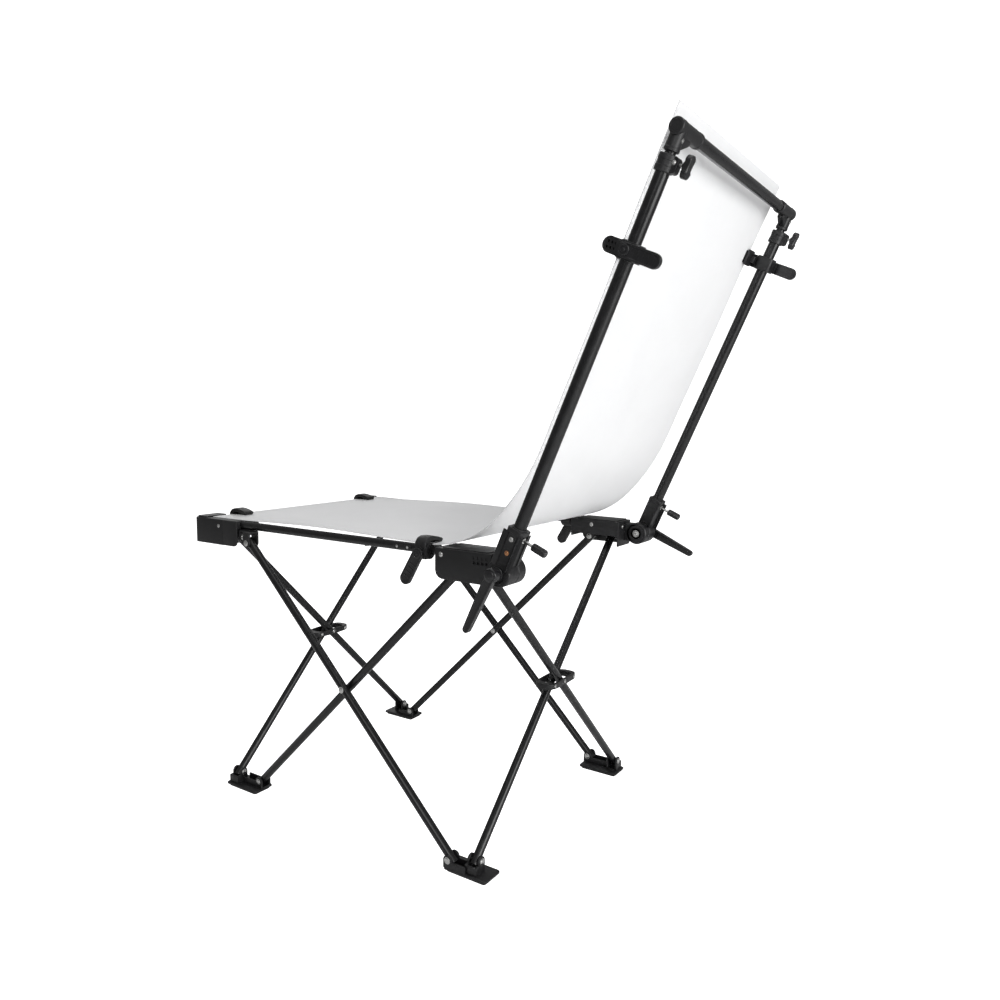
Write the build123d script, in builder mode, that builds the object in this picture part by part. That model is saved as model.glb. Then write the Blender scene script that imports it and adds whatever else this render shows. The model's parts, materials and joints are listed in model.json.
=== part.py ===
"""Folding product table: a scissor-legged frame that carries a swept white backdrop sheet.

+X is right and +Y is back, seen by someone who stands in front of the table. The origin is on
the floor at the middle of the four feet. All sizes are millimetres.
"""
import os
from math import cos, hypot, radians, sin, sqrt

from build123d import *

# Overall sizes
half_span = 302.0          # half the distance between the two leg pivots of one side
side_plane_out = 1.0       # the side legs cross this far outside the end legs' pivots
end_plane_out = 65.0       # the end legs cross this far beyond the side legs' pivots
front_reach = 135.0        # from the plane of the front legs to the front of the table
lean = 23.4                # angle of the posts from vertical
post_reach = 817.0         # from the recline axis to the axis of the top bar

# Leg tubes, their pivots and rivets
leg_diameter = 19.0
leg_wall = 1.5
leg_end = 10.0             # a tube runs this far past its pivot
cross_gap = 1.0            # between the two tubes of a cross
side_pivot_height = 26.0
end_pivot_height = 34.0
pin_diameter = 6.0
pin_fit = 0.05             # radial clearance of a pin in the piece that it turns in
loose_fit = 0.35           # radial clearance of a pin at a pivot that closes a loop
seat_fit = 0.02            # radial clearance of a pin in the piece that it is fixed to
head_diameter = 12.0
head_height = 2.0
ear_gap = 0.5              # between a tube and the ear beside it
ear_thickness = 5.0
ear_width = 22.0
ear_root = 1.0             # an ear reaches this far into its plate

# Feet
foot_length = 104.0
foot_width = 57.0
foot_in = 2.0              # the foot's middle is this far inside the end legs' pivots
foot_beyond = 44.0         # and this far beyond the side legs' pivots
foot_corner = 5.0
foot_plate = 5.0
pad_height = 5.0
pad_inset = 4.0
pad_corner = 5.0

# Leg blocks under the top frame
leg_block_plate = 4.0
leg_turn_gap = 1.207       # between the swinging end of a leg tube and the plate over it
leg_block_gap = 1.5        # between a leg block and the block of the top frame over it

# Hubs round the crossings of the end legs
hub_gap = 1.0
hub_length = 124.0
hub_opening = 92.0
hub_height = 15.0
hub_corner = 20.0
hub_opening_corner = 14.0

# Rails and front bar
rail_diameter = 19.0
rail_wall = 1.5
rail_in = 2.0              # the rails' axes are this far inside the end legs' pivots
rail_stop = 26.0           # a rail ends this far from the front bar's axis or the block's back
bar_back = 56.0            # from the front of the table to the front bar's axis
bar_past = 4.0             # the front bar runs this far past the rails' axes
block_fit = 0.05           # radial clearance of a rail or bar in its block

# Blocks at the four corners of the top
block_inboard = 50.0       # from a rail's axis to the block's inner face
block_swing_gap = 0.207    # between the swinging end of an end leg and the block's outer wall
block_drop = 53.0          # from the rails' axes to the bottom of the block's walls
block_cover = 0.5          # over a rail
block_wall = 4.0
block_corner = 5.0
head_gap = 2.0             # between a rivet's head and the solid part of a front block
front_block_skirt = 22.0   # the front block reaches this far behind the front legs' plane
back_block_lead = 40.0     # the back block starts this far before the side legs' pivots
join = 1.0                 # two parts of one block run this far into each other

# Recline hinge
hinge_radius = 27.0
hinge_room = 5.0           # between the hinge's discs and the back block
hinge_drop = 20.0          # from the rails' axes to the recline axis
hinge_out = 10.5           # from a rail's axis to the outer face of the lug
lug_thickness = 26.5
lug_arm_low = 20.0         # the lug's arm reaches this far below the recline axis
lug_arm_high = 24.0        # and this far above it
hinge_gap = 0.5            # between the lug and the post's socket
bolt_diameter = 10.0
bolt_head_radius = 9.0
bolt_head_height = 6.0
bolt_head_hold = 2.0       # the bolt reaches this far into its head
bolt_past = 1.5            # the bolt ends this far outside the lever's hub
bolt_nut_height = 3.0
bolt_nut_hold = 1.0        # of the bolt's length is inside its nut

# Lock levers
lever_gap = 1.0            # between the socket and the lever's hub
lever_hub_diameter = 28.0
lever_hub_length = 26.0
lever_length = 122.0
lever_width = 22.0
lever_tip_width = 14.0
lever_thickness = 13.0
right_lever_angle = 26.0   # from straight down, towards the front
left_lever_angle = -66.0   # from straight down, towards the back

# Posts and their sockets
post_diameter = 25.0
post_wall = 1.5
post_start = 42.0          # from the recline axis
socket_wall = 4.5
socket_start = 10.0
socket_end = 95.0
socket_corner = 4.0
socket_fit = 0.05
thumb_screw_at = 78.0
thumb_screw_diameter = 6.0
thumb_screw_gap = 0.6      # between the screw's tip and the post
thumb_knob_diameter = 16.0
thumb_knob_length = 31.0
thumb_knob_gap = 22.0      # between the socket and the knob
thumb_hold = 2.0           # the screw reaches at least this far into its knob

# Collars, inner posts, corner brackets and top bar
inner_play = 1.5           # between an inner post and the post round it
inner_wall = 1.5
inner_overlap = 285.0      # the inner post reaches this far down in the post
bracket_reach = 37.0       # the bracket starts this far below the top bar's axis
bracket_in = 78.0          # from a post's axis to the inner end of its bracket
bracket_out = 17.0         # and to its outer end
bracket_wall = 2.5
bracket_gap = 4.0          # between a collar and the bracket above it
collar_length = 28.0
collar_grip = 9.0          # the post reaches this far into its collar
collar_wall = 4.0
collar_slide_fit = 0.35
collar_ear_width = 16.0
collar_ear_depth = 14.0
wing_knob_above = 9.0      # the wing knob's screw is this far above the post's end
wing_screw_diameter = 5.0
wing_screw_gap = 1.0       # between the screw's tip and the inner post
wing_knob_gap = 16.0       # between the collar and the knob
wing_knob_width = 20.0
wing_knob_height = 38.0
wing_knob_thickness = 11.0
wing_knob_corner = 9.0
wing_hold = 3.5            # the screw reaches this far into its knob
top_bar_diameter = 22.0
top_bar_wall = 1.5
top_bar_short = 2.0        # the top bar ends this far inside the posts' axes
top_bar_room = 6.0         # between the inner post's end and the top bar

# Sheet
sheet_thickness = 1.5
sheet_gap = 0.3            # between the blocks and the sheet
sheet_past_bar = 12.0      # the sheet runs this far past the front bar's axis
sheet_clear = 20.5         # from the posts' front face to the middle of the sheet
sheet_past_top = 45.0      # the sheet ends this far above the top bar's axis
bend_radius_low = 235.0
bend_radius_high = 500.0
bend_low_angle = 45.0
seam_gap = 1.0             # between the bend and the parts of the sheet above and below it

# Clips
clip_width = 30.0
clip_fit = 0.05
clip_gap = 0.3
clip_corner = 6.0
clip_finger_height = 14.0
rail_clip_lead = 37.0      # from the back block to the middle of the clip on a rail
bar_clip_in = 72.0         # from a rail's axis to a clip on the front bar
rail_clip_out = 23.0       # from a rail's axis to the clip's outer face
rail_clip_in = 15.0
rail_clip_low = 19.0
rail_clip_high = 7.0
rail_clip_web = 10.0
rail_web_low = 5.0
rail_web_high = 21.0
rail_finger_length = 60.0
post_clip_below = 130.0    # from a collar down to the middle of the clip on the right post
left_clip_rise = 82.0      # the clip on the left post is this far above the one on the right
post_clip_wall = 4.5
post_clip_depth = 6.0
post_web_out = 17.0        # from the sheet's edge to the outer face of the clip's web
post_web_thickness = 14.0
post_web_start = 8.0
post_pad_out = 12.0        # the pad behind the sheet starts this far outside its edge
post_pad_length = 36.0
post_pad_thickness = 6.0
post_finger_length = 46.0
paddle_length = 88.0
paddle_width = 26.0
paddle_thickness = 9.0
paddle_gap = 1.0
paddle_pin_diameter = 8.0
paddle_drop = 6.0          # a paddle's pivot is this far below its rail's axis
paddle_tilt = 30.0         # of the paddles on the rails and the bar, from straight down

os.makedirs("parts", exist_ok=True)

# Legs
leg_radius = leg_diameter / 2
leg_length = sqrt(2) * 2 * half_span
tube_offset = leg_radius + cross_gap / 2
side_plane = half_span + side_plane_out
end_plane = half_span + end_plane_out
side_top_height = side_pivot_height + 2 * half_span
end_top_height = end_pivot_height + 2 * half_span
ear_reach = leg_radius + ear_gap + ear_thickness
hub_half_depth = tube_offset + leg_radius + hub_gap

# Top frame
rail_radius = rail_diameter / 2
rail_x = half_span - rail_in
leg_block_floor = end_top_height + hypot(leg_end, leg_radius) + leg_turn_gap
block_floor = leg_block_floor + leg_block_plate + leg_block_gap
rail_height = block_floor + rail_radius
block_top = rail_height + rail_radius + block_cover
block_bottom = rail_height - block_drop
block_inner = rail_x - block_inboard
block_outer = half_span + hypot(leg_end, leg_radius) + block_swing_gap + block_wall
front_end = end_plane + front_reach
front_block_back = end_plane - front_block_skirt
front_block_core = end_plane + tube_offset + ear_reach + head_height + head_gap
back_block_front = half_span - back_block_lead
back_block_back = end_plane + tube_offset + ear_reach + head_height + block_wall
bar_y = front_end - bar_back
bar_end = rail_x + bar_past
rail_front = bar_y - rail_stop
rail_back = back_block_back - rail_stop
rail_clip_y = back_block_front - rail_clip_lead

# Recline hinge and posts
socket_width = post_diameter + 2 * socket_wall
hinge_y = back_block_back + hinge_room + hinge_radius
hinge_height = rail_height - hinge_drop
hinge_face = rail_x + hinge_out
lug_inner = hinge_face - lug_thickness
barrel_inner = hinge_face + hinge_gap
barrel_outer = barrel_inner + socket_width
post_x = barrel_inner + socket_width / 2
lever_hub_start = barrel_outer + lever_gap
lever_hub_end = lever_hub_start + lever_hub_length
bolt_end = lever_hub_end + bolt_past
bracket_start = post_reach - bracket_reach
bracket_diameter = top_bar_diameter + 2 * bracket_wall
collar_end = bracket_start - bracket_gap
collar_start = collar_end - collar_length
collar_diameter = post_diameter + 2 * collar_wall
post_end = collar_start + collar_grip
wing_knob_at = post_end + wing_knob_above
post_clip_at = collar_start - post_clip_below
inner_diameter = post_diameter - 2 * post_wall - 2 * inner_play
inner_start = post_end - inner_overlap
inner_end = post_reach - top_bar_diameter / 2 - top_bar_room
top_bar_end = post_x - top_bar_short
post_up = Vector(0, sin(radians(lean)), cos(radians(lean)))
post_front = Vector(0, -cos(radians(lean)), sin(radians(lean)))

# Sheet: the bend is tangent to the flat part and to the part along the posts
sheet_half_width = rail_x
sheet_front = bar_y + sheet_past_bar
sheet_middle = block_top + sheet_gap + sheet_thickness / 2
sheet_standoff = post_diameter / 2 + sheet_clear
sheet_top = post_reach + sheet_past_top
low_angle = radians(bend_low_angle)
full_angle = radians(90 - lean)
bend_run = bend_radius_low * sin(low_angle) + bend_radius_high * (sin(full_angle) - sin(low_angle))
bend_rise = bend_radius_low * (1 - cos(low_angle)) + bend_radius_high * (cos(low_angle) - cos(full_angle))
bend_end_z = sheet_middle + bend_rise
bend_end_y = hinge_y + ((bend_end_z - hinge_height) * post_front.Z - sheet_standoff) / cos(radians(lean))
bend_start_y = bend_end_y - bend_run
bend_end_along = (bend_end_y - hinge_y) * post_up.Y + (bend_end_z - hinge_height) * post_up.Z

SIDES = {"right": 1, "left": -1}
# Every leg tube: its name, its kind, where it lies, the side of its top end, and whether it carries
# the pin of its cross.
LEG_TUBES = [
    ("right_outer", "side", side_plane + tube_offset, -1, True),
    ("right_inner", "side", side_plane - tube_offset, 1, False),
    ("left_outer", "side", -side_plane - tube_offset, -1, True),
    ("left_inner", "side", -side_plane + tube_offset, 1, False),
    ("back_outer", "end", end_plane + tube_offset, 1, True),
    ("back_inner", "end", end_plane - tube_offset, -1, False),
    ("front_outer", "end", -end_plane - tube_offset, -1, True),
    ("front_inner", "end", -end_plane + tube_offset, 1, False),
]
PLACES = {name: place for name, kind, place, top_side, carries_cross in LEG_TUBES}
# The pivots that close a loop of the linkage: the tube, and its top or bottom end.
LOOP_PIVOTS = {
    ("front_outer", "bottom"),
    ("back_inner", "bottom"),
    ("left_inner", "bottom"),
    ("left_outer", "bottom"),
    ("left_outer", "top"),
}
# Every corner: its side of x and of y, then the side leg and the end leg that stand on its foot,
# and the side leg and the end leg that hang from its leg block.
CORNERS = {
    "back_right": (1, 1, "right_outer", "back_inner", "right_inner", "back_outer"),
    "front_right": (1, -1, "right_inner", "front_outer", "right_outer", "front_inner"),
    "front_left": (-1, -1, "left_inner", "front_inner", "left_outer", "front_outer"),
    "back_left": (-1, 1, "left_outer", "back_outer", "left_inner", "back_inner"),
}


def save(builder, name):
    builder.part.label = name
    export_step(builder.part, "parts/" + name + ".step")


def on_post(along, forward=0.0, x=0.0):
    """A point given along the posts from the recline axis, and forward of their plane."""
    return Vector(x, hinge_y, hinge_height) + post_up * along + post_front * forward


def at_hinge(x):
    """A point on the recline axis."""
    return Vector(x, hinge_y, hinge_height)


def rod(start, direction, diameter, length, mode=Mode.ADD):
    """A round bar, or with Mode.SUBTRACT a bore, of the given length from its start."""
    with BuildSketch(Plane(origin=start, z_dir=direction)) as profile:
        Circle(diameter / 2)
    extrude(profile.sketch, amount=length, mode=mode)


def tube(start, direction, diameter, wall, length):
    """A round tube of the given length from its start."""
    with BuildSketch(Plane(origin=start, z_dir=direction)) as profile:
        Circle(diameter / 2)
        Circle(diameter / 2 - wall, mode=Mode.SUBTRACT)
    extrude(profile.sketch, amount=length)


def patch(x_start, x_end, y_start, y_end, corner=0.0):
    """A rectangle between the given limits of a sketch."""
    with Locations(((x_start + x_end) / 2, (y_start + y_end) / 2)):
        if corner:
            RectangleRounded(abs(x_end - x_start), abs(y_end - y_start), corner)
        else:
            Rectangle(abs(x_end - x_start), abs(y_end - y_start))


def slab(x_start, x_end, y_start, y_end, z_start, z_end):
    """A plain box between the given limits."""
    with BuildSketch(Plane.XY.offset(z_start)) as profile:
        patch(x_start, x_end, y_start, y_end)
    extrude(profile.sketch, amount=z_end - z_start)


def tube_ends(kind, place, top_side):
    """The top pivot, the bottom pivot and the direction across a leg tube."""
    if kind == "side":
        return (
            Vector(place, top_side * half_span, side_top_height),
            Vector(place, -top_side * half_span, side_pivot_height),
            Vector(1, 0, 0),
        )
    return (
        Vector(top_side * half_span, place, end_top_height),
        Vector(-top_side * half_span, place, end_pivot_height),
        Vector(0, 1, 0),
    )


def rivet(middle, direction, half_length):
    """A pin with a flat head at each end, half_length from its middle to under each head."""
    reach = half_length + head_height
    rod(middle - direction * reach, direction, pin_diameter, 2 * reach)
    rod(middle + direction * half_length, direction, head_diameter, head_height)
    rod(middle - direction * half_length, direction * -1, head_diameter, head_height)


def pivot_diameter(tube_name, end):
    """The bore that a leg's pin turns in, larger where the pivot closes a loop."""
    return pin_diameter + 2 * (loose_fit if (tube_name, end) in LOOP_PIVOTS else pin_fit)


def ear_pair(middle, across, root_height, bore):
    """Two ears that hold a pivot; root_height is where they end inside their plate."""
    side = Vector(0, 1, 0) if across.X else Vector(1, 0, 0)
    for sign in (1, -1):
        start = middle + across * (sign * (leg_radius + ear_gap))
        face = Plane(origin=start, x_dir=side, z_dir=across * sign)
        rise = face.to_local_coords(Vector(start.X, start.Y, root_height)).Y
        with BuildSketch(face) as profile:
            Circle(ear_width / 2)
            patch(-ear_width / 2, ear_width / 2, 0, rise)
        extrude(profile.sketch, amount=ear_thickness)
    rod(middle - across * (ear_reach + join), across, bore, 2 * (ear_reach + join), Mode.SUBTRACT)


# Leg tubes with their rivets
for name, kind, place, top_side, carries_cross in LEG_TUBES:
    top, bottom, across = tube_ends(kind, place, top_side)
    middle = (top + bottom) / 2
    along = (top - bottom).normalized()
    with BuildPart() as leg_tube:
        tube(bottom - along * leg_end, along, leg_diameter, leg_wall, leg_length + 2 * leg_end)
        for point, fit in ((top, seat_fit), (bottom, seat_fit), (middle, pin_fit)):
            start = point - across * leg_diameter
            rod(start, across, pin_diameter + 2 * fit, 2 * leg_diameter, Mode.SUBTRACT)
    save(leg_tube, "leg_tube_" + name)

    with BuildPart() as rivets:
        rivet(top, across, ear_reach)
        rivet(bottom, across, ear_reach)
        if carries_cross:
            inward = -1 if place > 0 else 1
            cross_reach = tube_offset + leg_radius
            if kind == "end":
                cross_reach = hub_half_depth + block_wall
            rivet(middle + across * (inward * tube_offset), across, cross_reach)
    save(rivets, "rivets_" + name)

for corner, (right, back, side_low, end_low, side_high, end_high) in CORNERS.items():
    # Foot: a rubber pad, a plate and two pairs of ears
    foot_place = (right * (half_span - foot_in), back * (half_span + foot_beyond))
    plate_top = pad_height + foot_plate
    with BuildPart() as foot:
        with BuildSketch(Plane.XY.offset(pad_height)):
            with Locations(foot_place):
                Rectangle(foot_width, foot_length)
        extrude(amount=foot_plate)
        chamfer(foot.edges().filter_by(Axis.Z), length=foot_corner)
        with BuildSketch(Plane.XY):
            with Locations(foot_place):
                RectangleRounded(foot_width - 2 * pad_inset, foot_length - 2 * pad_inset, pad_corner)
        extrude(amount=pad_height)
        pivot = Vector(PLACES[side_low], back * half_span, side_pivot_height)
        ear_pair(pivot, Vector(1, 0, 0), plate_top - ear_root, pivot_diameter(side_low, "bottom"))
        pivot = Vector(right * half_span, PLACES[end_low], end_pivot_height)
        ear_pair(pivot, Vector(0, 1, 0), plate_top - ear_root, pivot_diameter(end_low, "bottom"))
    save(foot, "foot_" + corner)

    # Leg block: a plate under the top frame with two pairs of ears
    side_place = PLACES[side_high]
    y_near = back * (half_span - ear_width / 2)
    y_far = PLACES[end_high] + back * ear_reach
    x_near = right * (half_span - ear_width / 2)
    x_far = right * (half_span + ear_width / 2)
    with BuildPart() as leg_block:
        with BuildSketch(Plane.XY.offset(leg_block_floor)):
            with Locations((side_place, back * half_span)):
                Rectangle(2 * ear_reach, ear_width)
            patch(x_near, x_far, y_near, y_far)
        extrude(amount=leg_block_plate)
        pivot = Vector(side_place, back * half_span, side_top_height)
        ear_pair(pivot, Vector(1, 0, 0), leg_block_floor + ear_root, pivot_diameter(side_high, "top"))
        pivot = Vector(right * half_span, PLACES[end_high], end_top_height)
        ear_pair(pivot, Vector(0, 1, 0), leg_block_floor + ear_root, pivot_diameter(end_high, "top"))
    save(leg_block, "leg_block_" + corner)

# Hubs: an oval ring round the crossing of the back and of the front legs
cross_height = (end_top_height + end_pivot_height) / 2
hub_reach = hub_half_depth + block_wall
for end, back in (("back", 1), ("front", -1)):
    place = back * end_plane
    with BuildPart() as hub:
        with BuildSketch(Plane.XY.offset(cross_height - hub_height / 2)):
            with Locations((0, place)):
                RectangleRounded(hub_length, 2 * hub_reach, hub_corner)
                RectangleRounded(hub_opening, 2 * hub_half_depth, hub_opening_corner, mode=Mode.SUBTRACT)
        extrude(amount=hub_height)
        start = Vector(0, place - hub_reach - join, cross_height)
        rod(start, (0, 1, 0), pin_diameter + 2 * pin_fit, 2 * (hub_reach + join), Mode.SUBTRACT)
    save(hub, "leg_hub_" + end)

# Top frame: rails and front bar
for side, right in SIDES.items():
    with BuildPart() as rail:
        start = (right * rail_x, -rail_front, rail_height)
        tube(start, (0, 1, 0), rail_diameter, rail_wall, rail_front + rail_back)
    save(rail, "side_rail_" + side)

with BuildPart() as front_bar:
    tube((-bar_end, -bar_y, rail_height), (1, 0, 0), rail_diameter, rail_wall, 2 * bar_end)
save(front_bar, "front_bar")

rail_bore = rail_diameter + 2 * block_fit
for side, right in SIDES.items():
    inner = right * block_inner
    outer = right * block_outer
    wall = right * (block_outer - block_wall)
    # Front block: solid round the front bar, with a wall outside the leg block
    skirt_front = -front_block_core - join
    with BuildPart() as front_block:
        slab(inner, outer, -front_end, -front_block_core, block_bottom, block_top)
        slab(inner, outer, skirt_front, -front_block_back, block_floor, block_top)
        slab(wall, outer, skirt_front, -front_block_back, block_bottom, block_top)
        start = (right * rail_x, -front_block_back, rail_height)
        rod(start, (0, -1, 0), rail_bore, rail_front - front_block_back, Mode.SUBTRACT)
        start = (inner, -bar_y, rail_height)
        rod(start, (right, 0, 0), rail_bore, bar_end - block_inner, Mode.SUBTRACT)
        chamfer(front_block.edges().filter_by(Axis.Z).group_by(Axis.Y)[0], length=block_corner)
    save(front_block, "front_block_" + side)

    # Back block: a roof with three walls over the leg block, and the round lug of the hinge
    lug_low = hinge_height - lug_arm_low
    lug_high = hinge_height + lug_arm_high
    front_wall = back_block_front + block_wall
    back_wall = back_block_back - block_wall
    lug_start = at_hinge(right * lug_inner)
    with BuildPart() as back_block:
        slab(inner, outer, back_block_front, back_block_back, block_floor, block_top)
        slab(wall, outer, back_block_front, back_block_back, block_bottom, block_top)
        slab(inner, outer, back_block_front, front_wall, block_bottom, block_top)
        slab(inner, outer, back_wall, back_block_back, block_bottom, block_top)
        slab(right * lug_inner, right * hinge_face, back_block_back - join, hinge_y, lug_low, lug_high)
        rod(lug_start, (right, 0, 0), 2 * hinge_radius, lug_thickness)
        rod(lug_start, (right, 0, 0), bolt_diameter + 2 * seat_fit, lug_thickness, Mode.SUBTRACT)
        start = (right * rail_x, back_block_front, rail_height)
        rod(start, (0, 1, 0), rail_bore, rail_back - back_block_front, Mode.SUBTRACT)
    save(back_block, "back_block_" + side)

# Hinge bolts, one through each lug, socket and lock lever
head_start = lug_inner - bolt_head_height
bolt_start = lug_inner - bolt_head_height + bolt_head_hold
nut_start = bolt_end - bolt_nut_hold
with BuildPart() as hinge_bolts:
    for right in SIDES.values():
        rod(at_hinge(right * bolt_start), (right, 0, 0), bolt_diameter, bolt_end - bolt_start)
        for start, height in ((head_start, bolt_head_height), (nut_start, bolt_nut_height)):
            with BuildSketch(Plane(origin=at_hinge(right * start), z_dir=(right, 0, 0))):
                RegularPolygon(radius=bolt_head_radius, side_count=6)
            extrude(amount=height)
save(hinge_bolts, "hinge_bolts")

# Lock levers: a round hub with an arm that tapers to its tip
for side, right in SIDES.items():
    angle = radians(right_lever_angle if right > 0 else left_lever_angle)
    arm_start = at_hinge(right * (lever_hub_end - lever_thickness))
    arm_plane = Plane(origin=arm_start, x_dir=(0, 1, 0), z_dir=(right, 0, 0))
    tip = arm_plane.to_local_coords(arm_start - Vector(0, sin(angle), cos(angle)) * lever_length)
    hub_start = at_hinge(right * lever_hub_start)
    with BuildPart() as lock_lever:
        rod(hub_start, (right, 0, 0), lever_hub_diameter, lever_hub_length)
        with BuildSketch(arm_plane):
            Circle(lever_width / 2)
            with Locations((tip.X, tip.Y)):
                Circle(lever_tip_width / 2)
            make_hull()
        extrude(amount=lever_thickness)
        rod(hub_start, (right, 0, 0), bolt_diameter + 2 * pin_fit, lever_hub_length, Mode.SUBTRACT)
    save(lock_lever, "lock_lever_" + side)

# Post sockets, posts, inner posts and the knobs on them
rear = post_front * -1
for side, right in SIDES.items():
    x = right * post_x
    barrel = at_hinge(right * barrel_inner)
    with BuildPart() as socket:
        rod(barrel, (right, 0, 0), 2 * hinge_radius, socket_width)
        with BuildSketch(Plane(origin=on_post(socket_start, 0, x), x_dir=(1, 0, 0), z_dir=post_up)):
            RectangleRounded(socket_width, socket_width, socket_corner)
        extrude(amount=socket_end - socket_start)
        bore_length = socket_end - post_start
        rod(on_post(post_start, 0, x), post_up, post_diameter + 2 * socket_fit, bore_length, Mode.SUBTRACT)
        rod(barrel, (right, 0, 0), bolt_diameter + 2 * pin_fit, socket_width, Mode.SUBTRACT)
        screw_bore = thumb_screw_diameter + 2 * pin_fit
        rod(on_post(thumb_screw_at, 0, x), rear, screw_bore, socket_width, Mode.SUBTRACT)
    save(socket, "post_socket_" + side)

    with BuildPart() as post:
        tube(on_post(post_start, 0, x), post_up, post_diameter, post_wall, post_end - post_start)
    save(post, "post_" + side)

    with BuildPart() as inner_post:
        tube(on_post(inner_start, 0, x), post_up, inner_diameter, inner_wall, inner_end - inner_start)
    save(inner_post, "inner_post_" + side)

    # Thumb screw: its tip stops just short of the post, and its knob stands behind the socket
    tip_depth = post_diameter / 2 + thumb_screw_gap
    knob_depth = socket_width / 2 + thumb_knob_gap
    with BuildPart() as thumb_screw:
        start = on_post(thumb_screw_at, -tip_depth, x)
        rod(start, rear, thumb_screw_diameter, knob_depth - tip_depth + thumb_hold)
        rod(on_post(thumb_screw_at, -knob_depth, x), rear, thumb_knob_diameter, thumb_knob_length)
    save(thumb_screw, "thumb_screw_" + side)

    # Wing knob: its screw passes the collar's rear ear
    tip_depth = inner_diameter / 2 + wing_screw_gap
    knob_depth = collar_diameter / 2 + wing_knob_gap
    with BuildPart() as wing_knob:
        start = on_post(wing_knob_at, -tip_depth, x)
        rod(start, rear, wing_screw_diameter, knob_depth - tip_depth + wing_hold)
        knob_start = on_post(wing_knob_at, -knob_depth, x)
        with BuildSketch(Plane(origin=knob_start, x_dir=(1, 0, 0), z_dir=rear)):
            RectangleRounded(wing_knob_width, wing_knob_height, wing_knob_corner)
        extrude(amount=wing_knob_thickness)
    save(wing_knob, "wing_knob_" + side)

# Collars at the posts' tops, each with an ear behind it
ear_near = collar_diameter / 2 - collar_ear_depth / 2
ear_far = collar_diameter / 2 + collar_ear_depth / 2
COLLAR_STEPS = (
    (collar_start, post_end, post_diameter + 2 * socket_fit),
    (post_end, collar_end, inner_diameter + 2 * collar_slide_fit),
)
with BuildPart() as collars:
    for right in SIDES.values():
        x = right * post_x
        for start, end, bore in COLLAR_STEPS:
            with BuildSketch(Plane(origin=on_post(start, 0, x), x_dir=(1, 0, 0), z_dir=post_up)):
                Circle(collar_diameter / 2)
                patch(-collar_ear_width / 2, collar_ear_width / 2, ear_near, ear_far)
                Circle(bore / 2, mode=Mode.SUBTRACT)
            extrude(amount=end - start)
        screw_bore = wing_screw_diameter + 2 * pin_fit
        rod(on_post(wing_knob_at, 0, x), rear, screw_bore, collar_diameter, Mode.SUBTRACT)
save(collars, "post_collars")

# Corner brackets: each joins an inner post to the top bar
bracket_inner = post_x - bracket_in
with BuildPart() as corner_brackets:
    for right in SIDES.values():
        base = on_post(bracket_start, 0, right * post_x)
        bar_start = on_post(post_reach, 0, right * bracket_inner)
        rod(base, post_up, bracket_diameter, bracket_reach)
        rod(bar_start, (right, 0, 0), bracket_diameter, bracket_in + bracket_out)
        rod(base, post_up, inner_diameter + 2 * socket_fit, inner_end - bracket_start, Mode.SUBTRACT)
        bar_bore = top_bar_diameter + 2 * socket_fit
        rod(bar_start, (right, 0, 0), bar_bore, top_bar_end - bracket_inner, Mode.SUBTRACT)
save(corner_brackets, "corner_brackets")

with BuildPart() as top_bar:
    start = on_post(post_reach, 0, -top_bar_end)
    tube(start, (1, 0, 0), top_bar_diameter, top_bar_wall, 2 * top_bar_end)
save(top_bar, "top_bar")


def rail_clip(place, inboard, along):
    """A clip on a rail: a cradle under the tube and a finger over the sheet."""
    finger_low = block_top + sheet_gap + sheet_thickness + clip_gap - rail_height
    finger_high = finger_low + clip_finger_height
    finger_in = rail_finger_length - rail_clip_out
    with BuildSketch(Plane(origin=place, x_dir=inboard, z_dir=along)) as profile:
        patch(-rail_clip_out, rail_clip_in, -rail_clip_low, rail_clip_high, clip_corner)
        patch(-rail_clip_out, rail_clip_web - rail_clip_out, -rail_web_low, rail_web_high)
        patch(-rail_clip_out, finger_in, finger_low, finger_high, clip_corner)
        Circle(rail_radius + clip_fit, mode=Mode.SUBTRACT)
    extrude(profile.sketch, amount=clip_width / 2, both=True)


def post_clip(place, inboard, along):
    """A clip on a post: a block round the tube and a jaw that holds the edge of the sheet."""
    half_block = post_diameter / 2 + post_clip_wall
    half_depth = post_diameter / 2 + post_clip_depth
    edge = post_x - sheet_half_width
    web = edge - post_web_out
    pad_start = edge - post_pad_out
    pad_face = sheet_standoff - sheet_thickness / 2 - clip_gap
    finger_face = sheet_standoff + sheet_thickness / 2 + clip_gap
    finger_back = finger_face + clip_finger_height
    with BuildSketch(Plane(origin=place, x_dir=inboard, z_dir=along)) as profile:
        patch(-half_block, half_block, -half_depth, half_depth, clip_corner)
        patch(web, web + post_web_thickness, post_web_start, finger_back)
        patch(pad_start, pad_start + post_pad_length, pad_face - post_pad_thickness, pad_face)
        patch(web, web + post_finger_length, finger_face, finger_back, clip_corner)
        Circle(post_diameter / 2 + clip_fit, mode=Mode.SUBTRACT)
    extrude(profile.sketch, amount=clip_width / 2, both=True)


def paddle(pivot, outward, direction):
    """A clip's lever: a paddle that hangs along direction from its pivot on the outboard side."""
    with BuildSketch(Plane(origin=pivot + outward * paddle_gap, x_dir=direction, z_dir=outward)) as profile:
        with Locations((paddle_length / 2 - paddle_width / 2, 0)):
            SlotOverall(paddle_length, paddle_width)
    extrude(profile.sketch, amount=paddle_thickness)
    rod(pivot, outward, paddle_pin_diameter, paddle_gap)


bar_clip_x = rail_x - bar_clip_in
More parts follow.
